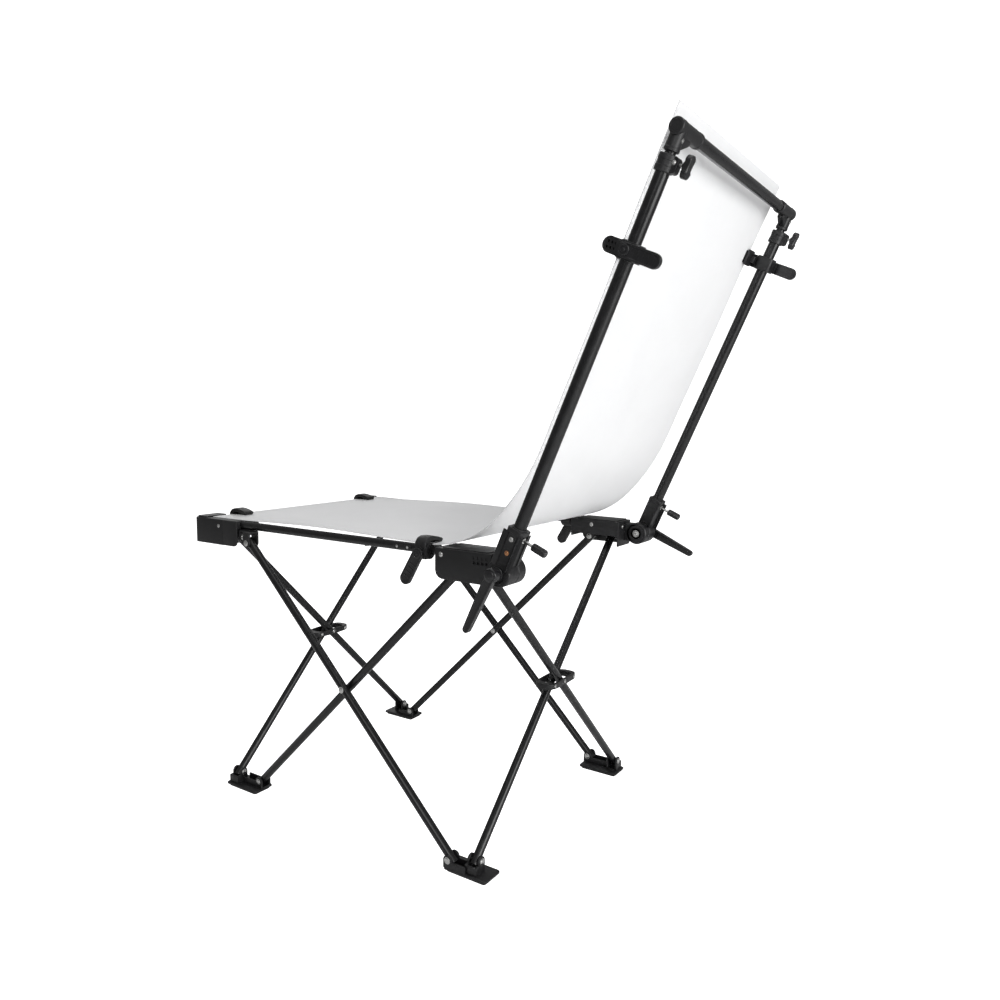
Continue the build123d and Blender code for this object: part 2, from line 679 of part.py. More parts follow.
# Every clip: its place on its tube, the way inboard, the way along the tube and the way forward
# that its paddle tilts.
RAIL_CLIPS = {
    "rail_right": (Vector(rail_x, rail_clip_y, rail_height), (-1, 0, 0), (0, 1, 0), (0, -1, 0)),
    "rail_left": (Vector(-rail_x, rail_clip_y, rail_height), (1, 0, 0), (0, -1, 0), (0, -1, 0)),
    "bar_right": (Vector(bar_clip_x, -bar_y, rail_height), (0, 1, 0), (1, 0, 0), (-1, 0, 0)),
    "bar_left": (Vector(-bar_clip_x, -bar_y, rail_height), (0, 1, 0), (1, 0, 0), (1, 0, 0)),
}
POST_CLIPS = {
    "post_right": (on_post(post_clip_at, 0, post_x), (-1, 0, 0), post_up),
    "post_left": (on_post(post_clip_at + left_clip_rise, 0, -post_x), (1, 0, 0), post_up * -1),
}

with BuildPart() as table_clips:
    for place, inboard, along, forward in RAIL_CLIPS.values():
        rail_clip(place, inboard, along)
save(table_clips, "table_clips")

with BuildPart() as post_clips:
    for place, inboard, along in POST_CLIPS.values():
        post_clip(place, inboard, along)
save(post_clips, "post_clips")

for name, (place, inboard, along, forward) in RAIL_CLIPS.items():
    outward = Vector(*inboard) * -1
    hang = Vector(*forward) * sin(radians(paddle_tilt)) - Vector(0, 0, cos(radians(paddle_tilt)))
    with BuildPart() as clip_lever:
        paddle(place + outward * rail_clip_out - Vector(0, 0, paddle_drop), outward, hang)
    save(clip_lever, "clip_lever_" + name)

for name, (place, inboard, along) in POST_CLIPS.items():
    outward = Vector(*inboard) * -1
    with BuildPart() as clip_lever:
        paddle(place + outward * (post_diameter / 2 + post_clip_wall), outward, rear)
    save(clip_lever, "clip_lever_" + name)

# Sheet: the flat part on the blocks, the free bend and the part along the posts
with BuildPart() as sheet_table:
    sheet_low = sheet_middle - sheet_thickness / 2
    flat_end = bend_start_y - seam_gap
    slab(-sheet_half_width, sheet_half_width, -sheet_front, flat_end, sheet_low, sheet_low + sheet_thickness)
save(sheet_table, "sheet_table")

with BuildPart() as sheet_bend:
    with BuildSketch(Plane(origin=(-sheet_half_width, 0, 0), x_dir=(0, 1, 0), z_dir=(1, 0, 0))):
        with BuildLine():
            low_arc = JernArc((bend_start_y, sheet_middle), (1, 0), bend_radius_low, bend_low_angle)
            JernArc(low_arc @ 1, low_arc % 1, bend_radius_high, 90 - lean - bend_low_angle)
        trace(line_width=sheet_thickness)
    extrude(amount=2 * sheet_half_width)
save(sheet_bend, "sheet_bend")

with BuildPart() as sheet_back:
    back_start = bend_end_along + seam_gap
    with BuildSketch(Plane(origin=on_post(back_start, sheet_standoff), x_dir=(1, 0, 0), z_dir=post_up)):
        Rectangle(2 * sheet_half_width, sheet_thickness)
    extrude(amount=sheet_top - back_start)
save(sheet_back, "sheet_back")
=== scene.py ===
import json
import math

import bpy
from bpy.props import FloatProperty, FloatVectorProperty, IntProperty, PointerProperty
from mathutils import Matrix, Vector


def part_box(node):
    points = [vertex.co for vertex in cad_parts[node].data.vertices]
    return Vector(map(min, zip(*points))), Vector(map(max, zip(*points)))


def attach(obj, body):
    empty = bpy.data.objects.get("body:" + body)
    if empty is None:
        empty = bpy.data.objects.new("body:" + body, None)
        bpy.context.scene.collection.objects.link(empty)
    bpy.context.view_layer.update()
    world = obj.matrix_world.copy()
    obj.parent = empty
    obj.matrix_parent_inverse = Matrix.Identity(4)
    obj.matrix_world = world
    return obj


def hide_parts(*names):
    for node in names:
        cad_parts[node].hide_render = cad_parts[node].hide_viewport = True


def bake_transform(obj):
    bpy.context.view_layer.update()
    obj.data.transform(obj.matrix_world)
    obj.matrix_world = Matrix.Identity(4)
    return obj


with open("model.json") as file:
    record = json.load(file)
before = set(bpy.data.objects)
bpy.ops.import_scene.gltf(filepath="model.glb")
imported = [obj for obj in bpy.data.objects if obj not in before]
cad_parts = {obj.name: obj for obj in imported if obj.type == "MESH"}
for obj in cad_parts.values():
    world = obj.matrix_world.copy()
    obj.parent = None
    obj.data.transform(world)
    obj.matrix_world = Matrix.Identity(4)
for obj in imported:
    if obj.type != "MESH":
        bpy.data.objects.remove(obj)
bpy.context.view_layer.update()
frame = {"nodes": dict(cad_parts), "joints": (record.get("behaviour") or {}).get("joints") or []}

bl_info = {
    "name": "Folding Product Table",
    "version": (1, 0, 0),
    "blender": (4, 5, 0),
    "location": "View3D > Sidebar > Table",
    "description": "Models the finished pieces of a folding product table on its frame",
    "category": "Add Mesh",
}

MM = 0.001
JOINTS = {joint["name"]: joint for joint in frame["joints"]}
SLIDE = Vector(JOINTS["post_extension"]["axis"]).normalized()
REAR = Vector((0, SLIDE.z, -SLIDE.y))
HINGE = Vector(JOINTS["recline"]["pos_m"]) / MM
FINISHES = {}


def box(node):
    """The lowest and highest corner of a frame node, in millimetres."""
    low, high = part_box(node)
    return low / MM, high / MM


def middle(node):
    low, high = box(node)
    return (low + high) / 2


RAIL = middle("side_rail_right")
POST_X = middle("post_right").x
FRONT_BAR = middle("front_bar")
RAIL_RADIUS = 9.5
EAR_REACH = 15.0
BRACKET_AT = 780.0
TOP_BAR_AT = 817.0
MIRROR = Matrix.Scale(-1, 4, (1, 0, 0))


# Modelling by hand: every helper works in millimetres and leaves its piece at the origin

def clear():
    """Leave edit mode and select nothing."""
    if bpy.context.object and bpy.context.object.mode != "OBJECT":
        bpy.ops.object.mode_set(mode="OBJECT")
    bpy.ops.object.select_all(action="DESELECT")


def only(piece):
    clear()
    piece.select_set(True)
    bpy.context.view_layer.objects.active = piece


def settle(piece, place=None):
    """Put the piece at a place and move that place into its mesh."""
    if place is not None:
        piece.matrix_world = place @ piece.matrix_world
    only(piece)
    bpy.ops.object.transform_apply(location=True, rotation=True, scale=True)
    return piece


def place_at(origin, z=(0, 0, 1), x=(1, 0, 0)):
    """The place whose origin is given in millimetres, with its z and x directions."""
    z = Vector(z).normalized()
    x = Vector(x).normalized()
    if abs(x.dot(z)) > 0.999:
        x = Vector((0, 1, 0))
    x = (x - z * x.dot(z)).normalized()
    place = Matrix((x, z.cross(x), z)).transposed().to_4x4()
    place.translation = Vector(origin) * MM
    return place


def on_post(along, rear=0.0, x=0.0):
    """A point along the right post from the recline axis, and behind its plane."""
    return Vector((x, HINGE.y, HINGE.z)) + SLIDE * along + REAR * rear


def at_hinge(x, way=1):
    """A place on the recline axis that looks along x, or against it."""
    return place_at((x, HINGE.y, HINGE.z), (way, 0, 0), (0, 1, 0))


def at_post(along, rear=0.0, z=SLIDE, x=(1, 0, 0)):
    """A place on the right post, by default one that looks up the post."""
    return place_at(on_post(along, rear, POST_X), z, x)


def along_post(joint):
    """How far up its post, from the recline axis, a joint is."""
    return (Vector(JOINTS[joint]["pos_m"]) / MM - HINGE).dot(SLIDE)


THUMB_AT = along_post("thumb_screw_right_turn")
WING_AT = along_post("wing_knob_right_turn")
CLIP_AT = along_post("paddle_post_right_turn")
LEFT_CLIP_RISE = along_post("paddle_post_left_turn") - CLIP_AT


def closed(piece, place):
    """Turn the faces outward, leave edit mode and put the piece at its place."""
    bpy.ops.mesh.select_all(action="SELECT")
    bpy.ops.mesh.normals_make_consistent(inside=False)
    clear()
    return settle(piece, place)


def block(x, y, z, place=None):
    """A box between the limits on x, y and z, ready to be shaped."""
    clear()
    bpy.ops.mesh.primitive_cube_add(size=1)
    piece = bpy.context.object
    piece.location = [(a + b) / 2 * MM for a, b in (x, y, z)]
    piece.scale = [abs(b - a) * MM for a, b in (x, y, z)]
    settle(piece)
    return settle(piece, place)


def edit(piece, kind, test):
    """Enter edit mode with only the points, edges or faces selected that pass the test."""
    only(piece)
    bpy.ops.object.mode_set(mode="EDIT")
    bpy.ops.mesh.select_mode(type=kind)
    bpy.ops.mesh.select_all(action="DESELECT")
    bpy.ops.object.mode_set(mode="OBJECT")
    mesh = piece.data
    if kind == "VERT":
        for point in mesh.vertices:
            point.select = test(point.co / MM)
    elif kind == "EDGE":
        for line in mesh.edges:
            line.select = test(*(mesh.vertices[i].co / MM for i in line.vertices))
    else:
        for face in mesh.polygons:
            face.select = test(face.center / MM, face.normal)
    bpy.ops.object.mode_set(mode="EDIT")


def upright(a, b):
    return abs(a.z - b.z) > 1


def facing_up(centre, normal):
    return normal.z > 0.9


def facing_down(centre, normal):
    return normal.z < -0.9


def anywhere(centre, normal):
    return True


def move(x=0.0, y=0.0, z=0.0):
    bpy.ops.transform.translate(value=(x * MM, y * MM, z * MM))


def resize(value, centre):
    bpy.ops.transform.resize(value=value, center_override=Vector(centre) * MM)


def draw_out(direction):
    """Extrude what is selected by a vector in millimetres."""
    bpy.ops.mesh.extrude_region_move(TRANSFORM_OT_translate={"value": Vector(direction) * MM})


def round_edges(piece, test, width, segments=4):
    """Bevel only the edges that pass the test."""
    edit(piece, "EDGE", test)
    bpy.ops.mesh.bevel(offset=width * MM, segments=segments, affect="EDGES")
    clear()
    return piece


def panel(piece, test, margin, depth):
    """Inset the faces that pass the test and push them in, or out where depth is negative."""
    edit(piece, "FACE", test)
    bpy.ops.mesh.inset(thickness=margin * MM, use_boundary=True)
    bpy.ops.mesh.extrude_region_shrink_fatten(
        TRANSFORM_OT_shrink_fatten={"value": -depth * MM, "use_even_offset": True})
    clear()
    return piece


def recess(piece, test, margin, way):
    """Inset the faces that pass the test and draw them in."""
    edit(piece, "FACE", test)
    bpy.ops.mesh.inset(thickness=margin * MM)
    draw_out(way)
    clear()


def nudge(piece, test, x=0.0, z=0.0):
    """Move the points that pass the test."""
    edit(piece, "VERT", test)
    move(x=x, z=z)
    clear()


def squeeze(piece, kind, test, value, centre):
    """Resize what passes the test about a centre."""
    edit(piece, kind, test)
    resize(value, centre)
    clear()


def sliced(piece, *stations):
    """Cut new edges across the piece at each x, for later strokes to work on."""
    for x in stations:
        edit(piece, "FACE", anywhere)
        bpy.ops.mesh.bisect(plane_co=(x * MM, 0, 0), plane_no=(1, 0, 0))
        clear()


def turned(profile, sides=40, place=None):
    """A turned solid: a disc drawn up through each (radius, height) of its profile."""
    clear()
    radius, height = profile[0]
    bpy.ops.mesh.primitive_circle_add(vertices=sides, radius=radius * MM, fill_type="NGON",
                                      location=(0, 0, height * MM))
    piece = settle(bpy.context.object)
    bpy.ops.object.mode_set(mode="EDIT")
    bpy.ops.mesh.select_all(action="SELECT")
    for next_radius, next_height in profile[1:]:
        draw_out((0, 0, next_height - height))
        ratio = next_radius / radius
        resize((ratio, ratio, 1), (0, 0, next_height))
        radius, height = next_radius, next_height
    return closed(piece, place)


def lobe(start, end, start_radius, end_radius, z, sides=40, place=None):
    """A long round-ended plate: a disc whose one half is drawn out along x, then thickened."""
    clear()
    bpy.ops.mesh.primitive_circle_add(vertices=sides, radius=start_radius * MM, fill_type="NGON",
                                      location=(start * MM, 0, z[0] * MM))
    piece = settle(bpy.context.object)
    edit(piece, "VERT", lambda p: p.x > start + 0.01)
    move(x=end - start)
    ratio = end_radius / start_radius
    resize((ratio, ratio, 1), (end, 0, z[0]))
    bpy.ops.mesh.select_all(action="SELECT")
    draw_out((0, 0, z[1] - z[0]))
    return closed(piece, place)


def swept(path, widths, depth, place=None):
    """A bar of the given depth on y whose end face is drawn out from point to point of a path on x and z."""
    points = [Vector((x, 0, z)) for x, z in path]
    runs = [(b - a).normalized() for a, b in zip(points, points[1:])]
    faces = [runs[0]] + [(a + b).normalized() for a, b in zip(runs, runs[1:])] + [runs[-1]]
    clear()
    bpy.ops.mesh.primitive_plane_add(size=1)
    piece = bpy.context.object
    piece.matrix_world = place_at(points[0], faces[0],
                                  Vector((-faces[0].z, 0, faces[0].x))) @ Matrix.Diagonal((widths[0] * MM,
                                                                                           depth * MM, 1,
                                                                                           1))
    settle(piece)
    bpy.ops.object.mode_set(mode="EDIT")
    bpy.ops.mesh.select_all(action="SELECT")
    heading = faces[0]
    for index in range(1, len(points)):
        draw_out(points[index] - points[index - 1])
        turn = math.atan2(heading.z, heading.x) - math.atan2(faces[index].z, faces[index].x)
        bpy.ops.transform.rotate(value=-turn, orient_axis="Y", center_override=points[index] * MM)
        ratio = widths[index] / widths[index - 1]
        resize((ratio, 1, ratio), points[index])
        heading = faces[index]
    return closed(piece, place)


def modified(piece, name, kind, **settings):
    """Give the piece a modifier and apply it."""
    only(piece)
    modifier = piece.modifiers.new(name, kind)
    for setting, value in settings.items():
        setattr(modifier, setting, value)
    bpy.ops.object.modifier_apply(modifier=modifier.name)
    return piece


def soften(piece, width, segments=2, angle=35.0):
    """Round every sharp edge with an applied bevel."""
    return modified(piece, "Rounding", "BEVEL", width=width * MM, segments=segments, limit_method="ANGLE",
                    angle_limit=math.radians(angle))


def cut(piece, *tools):
    """Take the tools' shapes out of the piece."""
    for tool in tools:
        modified(piece, "Cut", "BOOLEAN", operation="DIFFERENCE", solver="EXACT", object=tool)
        spare(tool)
    return piece


def joined(pieces, name=None):
    clear()
    for piece in pieces:
        piece.select_set(True)
    bpy.context.view_layer.objects.active = pieces[0]
    if len(pieces) > 1:
        bpy.ops.object.join()
    piece = bpy.context.object
    if name:
        piece.name = name
        piece.data.name = name
    return piece


def copied(piece, place=None, name=None):
    """A copy with its own mesh, at another place."""
    only(piece)
    bpy.ops.object.duplicate(linked=False)
    copy = bpy.context.object
    if name:
        copy.name = name
        copy.data.name = name
    return settle(copy, place)


def spare(*pieces):
    """Remove pieces that were only modelled to be copied."""
    clear()
    for piece in pieces:
        piece.select_set(True)
    bpy.ops.object.delete()


def fitted(piece, body, slot, finish, *nodes, angle=35.0):
    """Clean the mesh, give it its finish and fix the piece to its body of the frame."""
    only(piece)
    bpy.ops.object.mode_set(mode="EDIT")
    bpy.ops.mesh.select_all(action="SELECT")
    bpy.ops.mesh.remove_doubles(threshold=0.000005)
    bpy.ops.mesh.normals_make_consistent(inside=False)
    bpy.ops.object.mode_set(mode="OBJECT")
    bpy.ops.object.shade_smooth_by_angle(angle=math.radians(angle))
    piece.data.materials.clear()
    piece.data.materials.append(FINISHES[finish])
    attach(piece, body)
    if nodes:
        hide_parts(*nodes)
    clear()
    return piece


# Fasteners that repeat

def dome_head(radius=6.0, height=2.0):
    """A domed rivet head on a thin washer."""
    return turned([(radius + 1.4, 0), (radius + 1.4, 0.5), (radius, 0.55), (radius, 0.9),
                   (radius * 0.93, height * 0.62), (radius * 0.72, height * 0.88), (radius * 0.4, height),
                   (0.2, height * 1.02)])


def screw_head(radius=4.4):
    """A pan head with a cross recess, in a shallow washer."""
    head = turned([(radius + 0.8, -0.4), (radius + 0.8, 0.15), (radius, 0.2), (radius, 1.1),
                   (radius * 0.86, 1.75), (radius * 0.5, 2.1), (0.2, 2.15)])
    slot_half = radius * 0.52
    return cut(head, block((-slot_half, slot_half), (-0.45, 0.45), (0.9, 3)),
               block((-0.45, 0.45), (-slot_half, slot_half), (0.9, 3)))


# Finishes

def new_group(name, inputs, outputs):
    """A shader node group with the named inputs and their defaults, and the named outputs."""
    tree = bpy.data.node_groups.new(name, "ShaderNodeTree")
    for socket, value in inputs:
        tree.interface.new_socket(socket, in_out="INPUT", socket_type="NodeSocketFloat").default_value = value
    for socket in outputs:
        tree.interface.new_socket(socket, in_out="OUTPUT", socket_type="NodeSocketFloat")
    return tree, tree.nodes.new("NodeGroupInput"), tree.nodes.new("NodeGroupOutput")


def math_node(tree, operation, first, second, clamp=False):
    node = tree.nodes.new("ShaderNodeMath")
    node.operation = operation
    node.use_clamp = clamp
    for socket, value in zip(node.inputs, (first, second)):
        if isinstance(value, (int, float)):
            socket.default_value = value
        else:
            tree.links.new(value, socket)
    return node.outputs[0]


def noise_node(tree, vector, scale, detail=3.0, roughness=0.55, distortion=0.0):
    node = tree.nodes.new("ShaderNodeTexNoise")
    node.inputs["Detail"].default_value = detail
    node.inputs["Roughness"].default_value = roughness
    node.inputs["Distortion"].default_value = distortion
    tree.links.new(vector, node.inputs["Vector"])
    if isinstance(scale, (int, float)):
        node.inputs["Scale"].default_value = scale
    else:
        tree.links.new(scale, node.inputs["Scale"])
    return node.outputs["Fac"]


def range_node(tree, value, low, high, new_low=0.0, new_high=1.0):
    node = tree.nodes.new("ShaderNodeMapRange")
    tree.links.new(value, node.inputs["Value"])
    for socket, number in zip(("From Min", "From Max", "To Min", "To Max"), (low, high, new_low, new_high)):
        if isinstance(number, (int, float)):
            node.inputs[socket].default_value = number
        else:
            tree.links.new(number, node.inputs[socket])
    return node.outputs["Result"]


def surface_group():
    """Fine surface grain with a broad change of tone under it."""
    tree, given, result = new_group("Surface grain", [("Grain Scale", 900.0), ("Tone Scale", 14.0)],
                                    ["Height", "Tone"])
    place = tree.nodes.new("ShaderNodeTexCoord").outputs["Object"]
    fine = noise_node(tree, place, given.outputs["Grain Scale"], 4.0, 0.6)
    broad = noise_node(tree, place, given.outputs["Tone Scale"], 5.0, 0.62, 0.4)
    tree.links.new(fine, result.inputs["Height"])
    tree.links.new(range_node(tree, broad, 0.32, 0.7), result.inputs["Tone"])
    return tree


def wear_group():
    """Rubbed edges and short scuffs where hands and other gear touch a surface."""
    tree, given, result = new_group("Handling wear", [("Edge Wear", 0.5), ("Scuffs", 0.3)],
                                    ["Edges", "Scuffs"])
    place = tree.nodes.new("ShaderNodeTexCoord").outputs["Object"]
    points = tree.nodes.new("ShaderNodeNewGeometry").outputs["Pointiness"]
    sharp = range_node(tree, points, 0.53, 0.62)
    broken = range_node(tree, noise_node(tree, place, 75.0, 6.0, 0.7), 0.42, 0.62)
    edges = math_node(tree, "MULTIPLY", math_node(tree, "MULTIPLY", sharp, broken),
                      given.outputs["Edge Wear"], True)
    stretch = tree.nodes.new("ShaderNodeMapping")
    stretch.inputs["Scale"].default_value = (1.0, 0.16, 0.55)
    stretch.inputs["Rotation"].default_value = (0.35, 0.2, 0.6)
    tree.links.new(place, stretch.inputs["Vector"])
    lines = noise_node(tree, stretch.outputs["Vector"], 260.0, 2.0, 0.5, 1.2)
    patches = range_node(tree, noise_node(tree, place, 19.0, 3.0), 0.5, 0.66)
    thin = range_node(tree, lines, 0.64, 0.72)
    scuffs = math_node(tree, "MULTIPLY", math_node(tree, "MULTIPLY", thin, patches), given.outputs["Scuffs"],
                       True)
    tree.links.new(edges, result.inputs["Edges"])
    tree.links.new(scuffs, result.inputs["Scuffs"])
    return tree


def dust_group():
    """Dust that settles on faces that look up."""
    tree, given, result = new_group("Settled dust", [("Amount", 0.3)], ["Mask"])
    place = tree.nodes.new("ShaderNodeTexCoord").outputs["Object"]
    normal = tree.nodes.new("ShaderNodeSeparateXYZ")
    tree.links.new(tree.nodes.new("ShaderNodeNewGeometry").outputs["Normal"], normal.inputs["Vector"])
    upward = range_node(tree, normal.outputs["Z"], 0.45, 0.98)
    patches = range_node(tree, noise_node(tree, place, 46.0, 7.0, 0.68), 0.38, 0.68)
    mask = math_node(tree, "MULTIPLY", math_node(tree, "MULTIPLY", upward, patches), given.outputs["Amount"],
                     True)
    tree.links.new(mask, result.inputs["Mask"])
    return tree


def mixed(tree, factor, first, second):
    node = tree.nodes.new("ShaderNodeMix")
    node.data_type = "RGBA"
    tree.links.new(factor, node.inputs["Factor"])
    for socket, value in ((node.inputs[6], first), (node.inputs[7], second)):
        if isinstance(value, bpy.types.NodeSocket):
            tree.links.new(value, socket)
        else:
            socket.default_value = (*value[:3], 1)
    return node.outputs[2]


def add_group(tree, group, **values):
    node = tree.nodes.new("ShaderNodeGroup")
    node.node_tree = group
    for name, value in values.items():
        node.inputs[name.replace("_", " ")].default_value = value
    return node


def new_material(name):
    """A named finish, given back as its node tree and its Principled node."""
    material = bpy.data.materials.new(name)
    material.use_nodes = True
    FINISHES[name] = material
    return material.node_tree, material.node_tree.nodes["Principled BSDF"]


def add_relief(tree, shader, surface, strength, distance):
    """Bump from the surface grain, with its distance in millimetres."""
    relief = tree.nodes.new("ShaderNodeBump")
    relief.inputs["Strength"].default_value = strength
    relief.inputs["Distance"].default_value = distance * MM
    tree.links.new(surface.outputs["Height"], relief.inputs["Height"])
    tree.links.new(relief.outputs["Normal"], shader.inputs["Normal"])


def new_finish(name, groups, colour, tone, worn, rough, grain, bump, wear=0.4, scuffs=0.3, dust=0.2,
               metallic=0.0, specular=0.5, tone_scale=14.0):
    """A finish of one colour and its darker or lighter tone, with worn edges, scuffs, dust and grain."""
    tree, shader = new_material(name)
    surface = add_group(tree, groups["surface"], Grain_Scale=grain, Tone_Scale=tone_scale)
    wearing = add_group(tree, groups["wear"], Edge_Wear=wear, Scuffs=scuffs)
    settled = add_group(tree, groups["dust"], Amount=dust)
    base = mixed(tree, surface.outputs["Tone"], colour, tone)
    base = mixed(tree, wearing.outputs["Edges"], base, worn)
    base = mixed(tree, wearing.outputs["Scuffs"], base, worn)
    base = mixed(tree, settled.outputs["Mask"], base, (0.42, 0.41, 0.39))
    tree.links.new(base, shader.inputs["Base Color"])
    spread = range_node(tree, surface.outputs["Tone"], 0.0, 1.0, rough[0], rough[1])
    spread = math_node(tree, "ADD", spread, math_node(tree, "MULTIPLY", wearing.outputs["Scuffs"], 0.35),
                       True)
    spread = math_node(tree, "ADD", spread, math_node(tree, "MULTIPLY", settled.outputs["Mask"], 0.5), True)
    tree.links.new(spread, shader.inputs["Roughness"])
    add_relief(tree, shader, surface, *bump)
    shader.inputs["Metallic"].default_value = metallic
    shader.inputs["Specular IOR Level"].default_value = specular


def colour_of(name, description, default):
    return FloatVectorProperty(name=name, description=description, subtype="COLOR", size=3, min=0, max=1,
                               default=default)


class TableColours(bpy.types.PropertyGroup):
    """Colours of the table's finishes."""
    paint: colour_of("Paint", "Gloss paint of the tubes", (0.0030, 0.0030, 0.0034))
    moulding: colour_of("Mouldings", "Moulded blocks, hubs, feet and clips", (0.0070, 0.0070, 0.0076))
    handle: colour_of("Handles", "Levers, knobs and paddles", (0.0065, 0.0065, 0.0072))
    rubber: colour_of("Rubber", "Soles of the feet", (0.0085, 0.0085, 0.0085))
    steel: colour_of("Steel", "Rivets, screws and bolts", (0.60, 0.60, 0.59))
    copper: colour_of("Copper", "Small rivets of the sockets and brackets", (0.55, 0.27, 0.14))
    sheet: colour_of("Sheet", "Milky backdrop sheet", (0.88, 0.885, 0.895))


class TableSizes(bpy.types.PropertyGroup):
    """Sizes that change the look of the pieces but not the frame."""
    rounding: FloatProperty(name="Edge rounding", description="Radius of the mouldings' edges",
                            default=0.0012, min=0.0002, max=0.003, unit="LENGTH")
    rivet_radius: FloatProperty(name="Rivet radius", description="Radius of the leg rivets' heads",
                                default=0.006, min=0.004, max=0.008, unit="LENGTH")
    sheet_bow: FloatProperty(name="Sheet bow",
                             description="How far the sheet's free edges bow up between clips",
                             default=0.006, min=0.0, max=0.015, unit="LENGTH")
    sheet_rows: IntProperty(name="Sheet rows", description="Rows of faces along the sheet", default=220,
                            min=60, max=400)
    floor_size: FloatProperty(name="Floor size", description="Width of the floor", default=40.0, min=5.0,
                              max=100.0, unit="LENGTH")


FINISH_TABLE = (
    # name, colour, tone as a share of it, worn colour, roughness, grain scale, bump, the rest
    ("Gloss black paint", "paint", 1.35, (0.03, 0.03, 0.032), (0.20, 0.27), 420.0, (0.04, 0.08),
     {"wear": 0.2, "scuffs": 0.18, "dust": 0.012, "specular": 0.42}),
    ("Black moulding", "moulding", 1.5, (0.045, 0.045, 0.047), (0.36, 0.46), 1500.0, (0.22, 0.12),
     {"scuffs": 0.25, "dust": 0.02, "specular": 0.4}),
    ("Black handle", "handle", 1.7, (0.05, 0.05, 0.052), (0.20, 0.30), 1100.0, (0.08, 0.08),
     {"dust": 0.015}),
    ("Sole rubber", "rubber", 2.2, (0.05, 0.048, 0.045), (0.68, 0.84), 700.0, (0.45, 0.25),
     {"wear": 0.6, "scuffs": 0.5, "dust": 0.25}),
    ("Bright steel", "steel", 0.82, (0.75, 0.75, 0.74), (0.20, 0.34), 800.0, (0.10, 0.06),
     {"scuffs": 0.5, "dust": 0.04, "metallic": 1.0, "tone_scale": 90.0}),
    ("Copper rivet", "copper", 0.75, (0.7, 0.4, 0.22), (0.24, 0.38), 800.0, (0.10, 0.06),
     {"scuffs": 0.4, "dust": 0.04, "metallic": 1.0, "tone_scale": 90.0}),
)
PAINTED = ("leg_tube", "side_rail", "front_bar", "post_right", "post_left", "inner_post", "top_bar")


class TABLE_OT_finishes(bpy.types.Operator):
    """Make the finishes and paint the frame's own tubes"""
    bl_idname = "table.finishes"
    bl_label = "Finishes and tubes"

    def execute(self, context):
        colours = context.scene.table_colours
        groups = {"surface": surface_group(), "wear": wear_group(), "dust": dust_group()}
        for name, base, tone, worn, rough, grain, bump, other in FINISH_TABLE:
            colour = getattr(colours, base)
            new_finish(name, groups, colour, [c * tone for c in colour], worn, rough, grain, bump, **other)
        self.milky_sheet(groups, colours.sheet)
        for name, node in frame["nodes"].items():
            finish = "Gloss black paint"
            if name.startswith(("rivets", "hinge_bolts")):
                finish = "Bright steel"
            elif name.startswith("sheet"):
                finish = "Milky sheet"
            elif not name.startswith(PAINTED):
                finish = "Black moulding"
            node.data.materials.clear()
            node.data.materials.append(FINISHES[finish])
        return {"FINISHED"}

    def milky_sheet(self, groups, colour):
        """Thin plastic that passes some light, faintly mottled, with wiped smears."""
        tree, shader = new_material("Milky sheet")
        surface = add_group(tree, groups["surface"], Grain_Scale=1400.0, Tone_Scale=5.0)
        wearing = add_group(tree, groups["wear"], Edge_Wear=0.0, Scuffs=0.35)
        base = mixed(tree, surface.outputs["Tone"], colour, [c * 0.965 for c in colour])
        base = mixed(tree, wearing.outputs["Scuffs"], base, (0.70, 0.71, 0.72))
        tree.links.new(base, shader.inputs["Base Color"])
        tree.links.new(range_node(tree, surface.outputs["Tone"], 0.0, 1.0, 0.34, 0.44),
                       shader.inputs["Roughness"])
        add_relief(tree, shader, surface, 0.08, 0.05)
        shader.inputs["Subsurface Weight"].default_value = 0.25
        shader.inputs["Subsurface Radius"].default_value = (0.02, 0.02, 0.021)
        shader.inputs["Subsurface Scale"].default_value = 0.5


CORNERS = {
    # corner: side of x, side of y, the legs that stand on its foot, the legs that hang from its block
    "back_right": (1, 1, "right_outer", "back_inner", "right_inner", "back_outer"),
    "front_right": (1, -1, "right_inner", "front_outer", "right_outer", "front_inner"),
    "front_left": (-1, -1, "left_inner", "front_inner", "left_outer", "front_outer"),
    "back_left": (-1, 1, "left_outer", "back_outer", "left_inner", "back_inner"),
}
LEGS = {
    # leg: the side of its top end, and whether it carries the pin of the cross
    "right_outer": (-1, True), "right_inner": (1, False), "left_outer": (-1, True), "left_inner": (1, False),
    "back_outer": (1, True), "back_inner": (-1, False), "front_outer": (-1, True), "front_inner": (1, False),
}
FOOT_BODIES = {"back_right": "foot_br", "front_right": "foot_fr", "front_left": "foot_fl",
               "back_left": "foot_bl"}
BLOCK_BODIES = {"back_right": "top_frame", "front_right": "front_right_block",
                "front_left": "front_left_block", "back_left": "back_left_block"}


def leg_pivots(leg):
    """The top pivot, the bottom pivot and the direction across a leg, from the heads of its rivets."""
    low, high = box("rivets_" + leg)
    centre = middle("leg_tube_" + leg)
    top_side = LEGS[leg][0]
    head = 6.0
    if leg.startswith(("right", "left")):
        half = (high.y - low.y) / 2 - head
        return (Vector((centre.x, top_side * half, high.z - head)),
                Vector((centre.x, -top_side * half, low.z + head)), Vector((1, 0, 0)))
    half = (high.x - low.x) / 2 - head
    return (Vector((top_side * half, centre.y, high.z - head)),
            Vector((-top_side * half, centre.y, low.z + head)), Vector((0, 1, 0)))


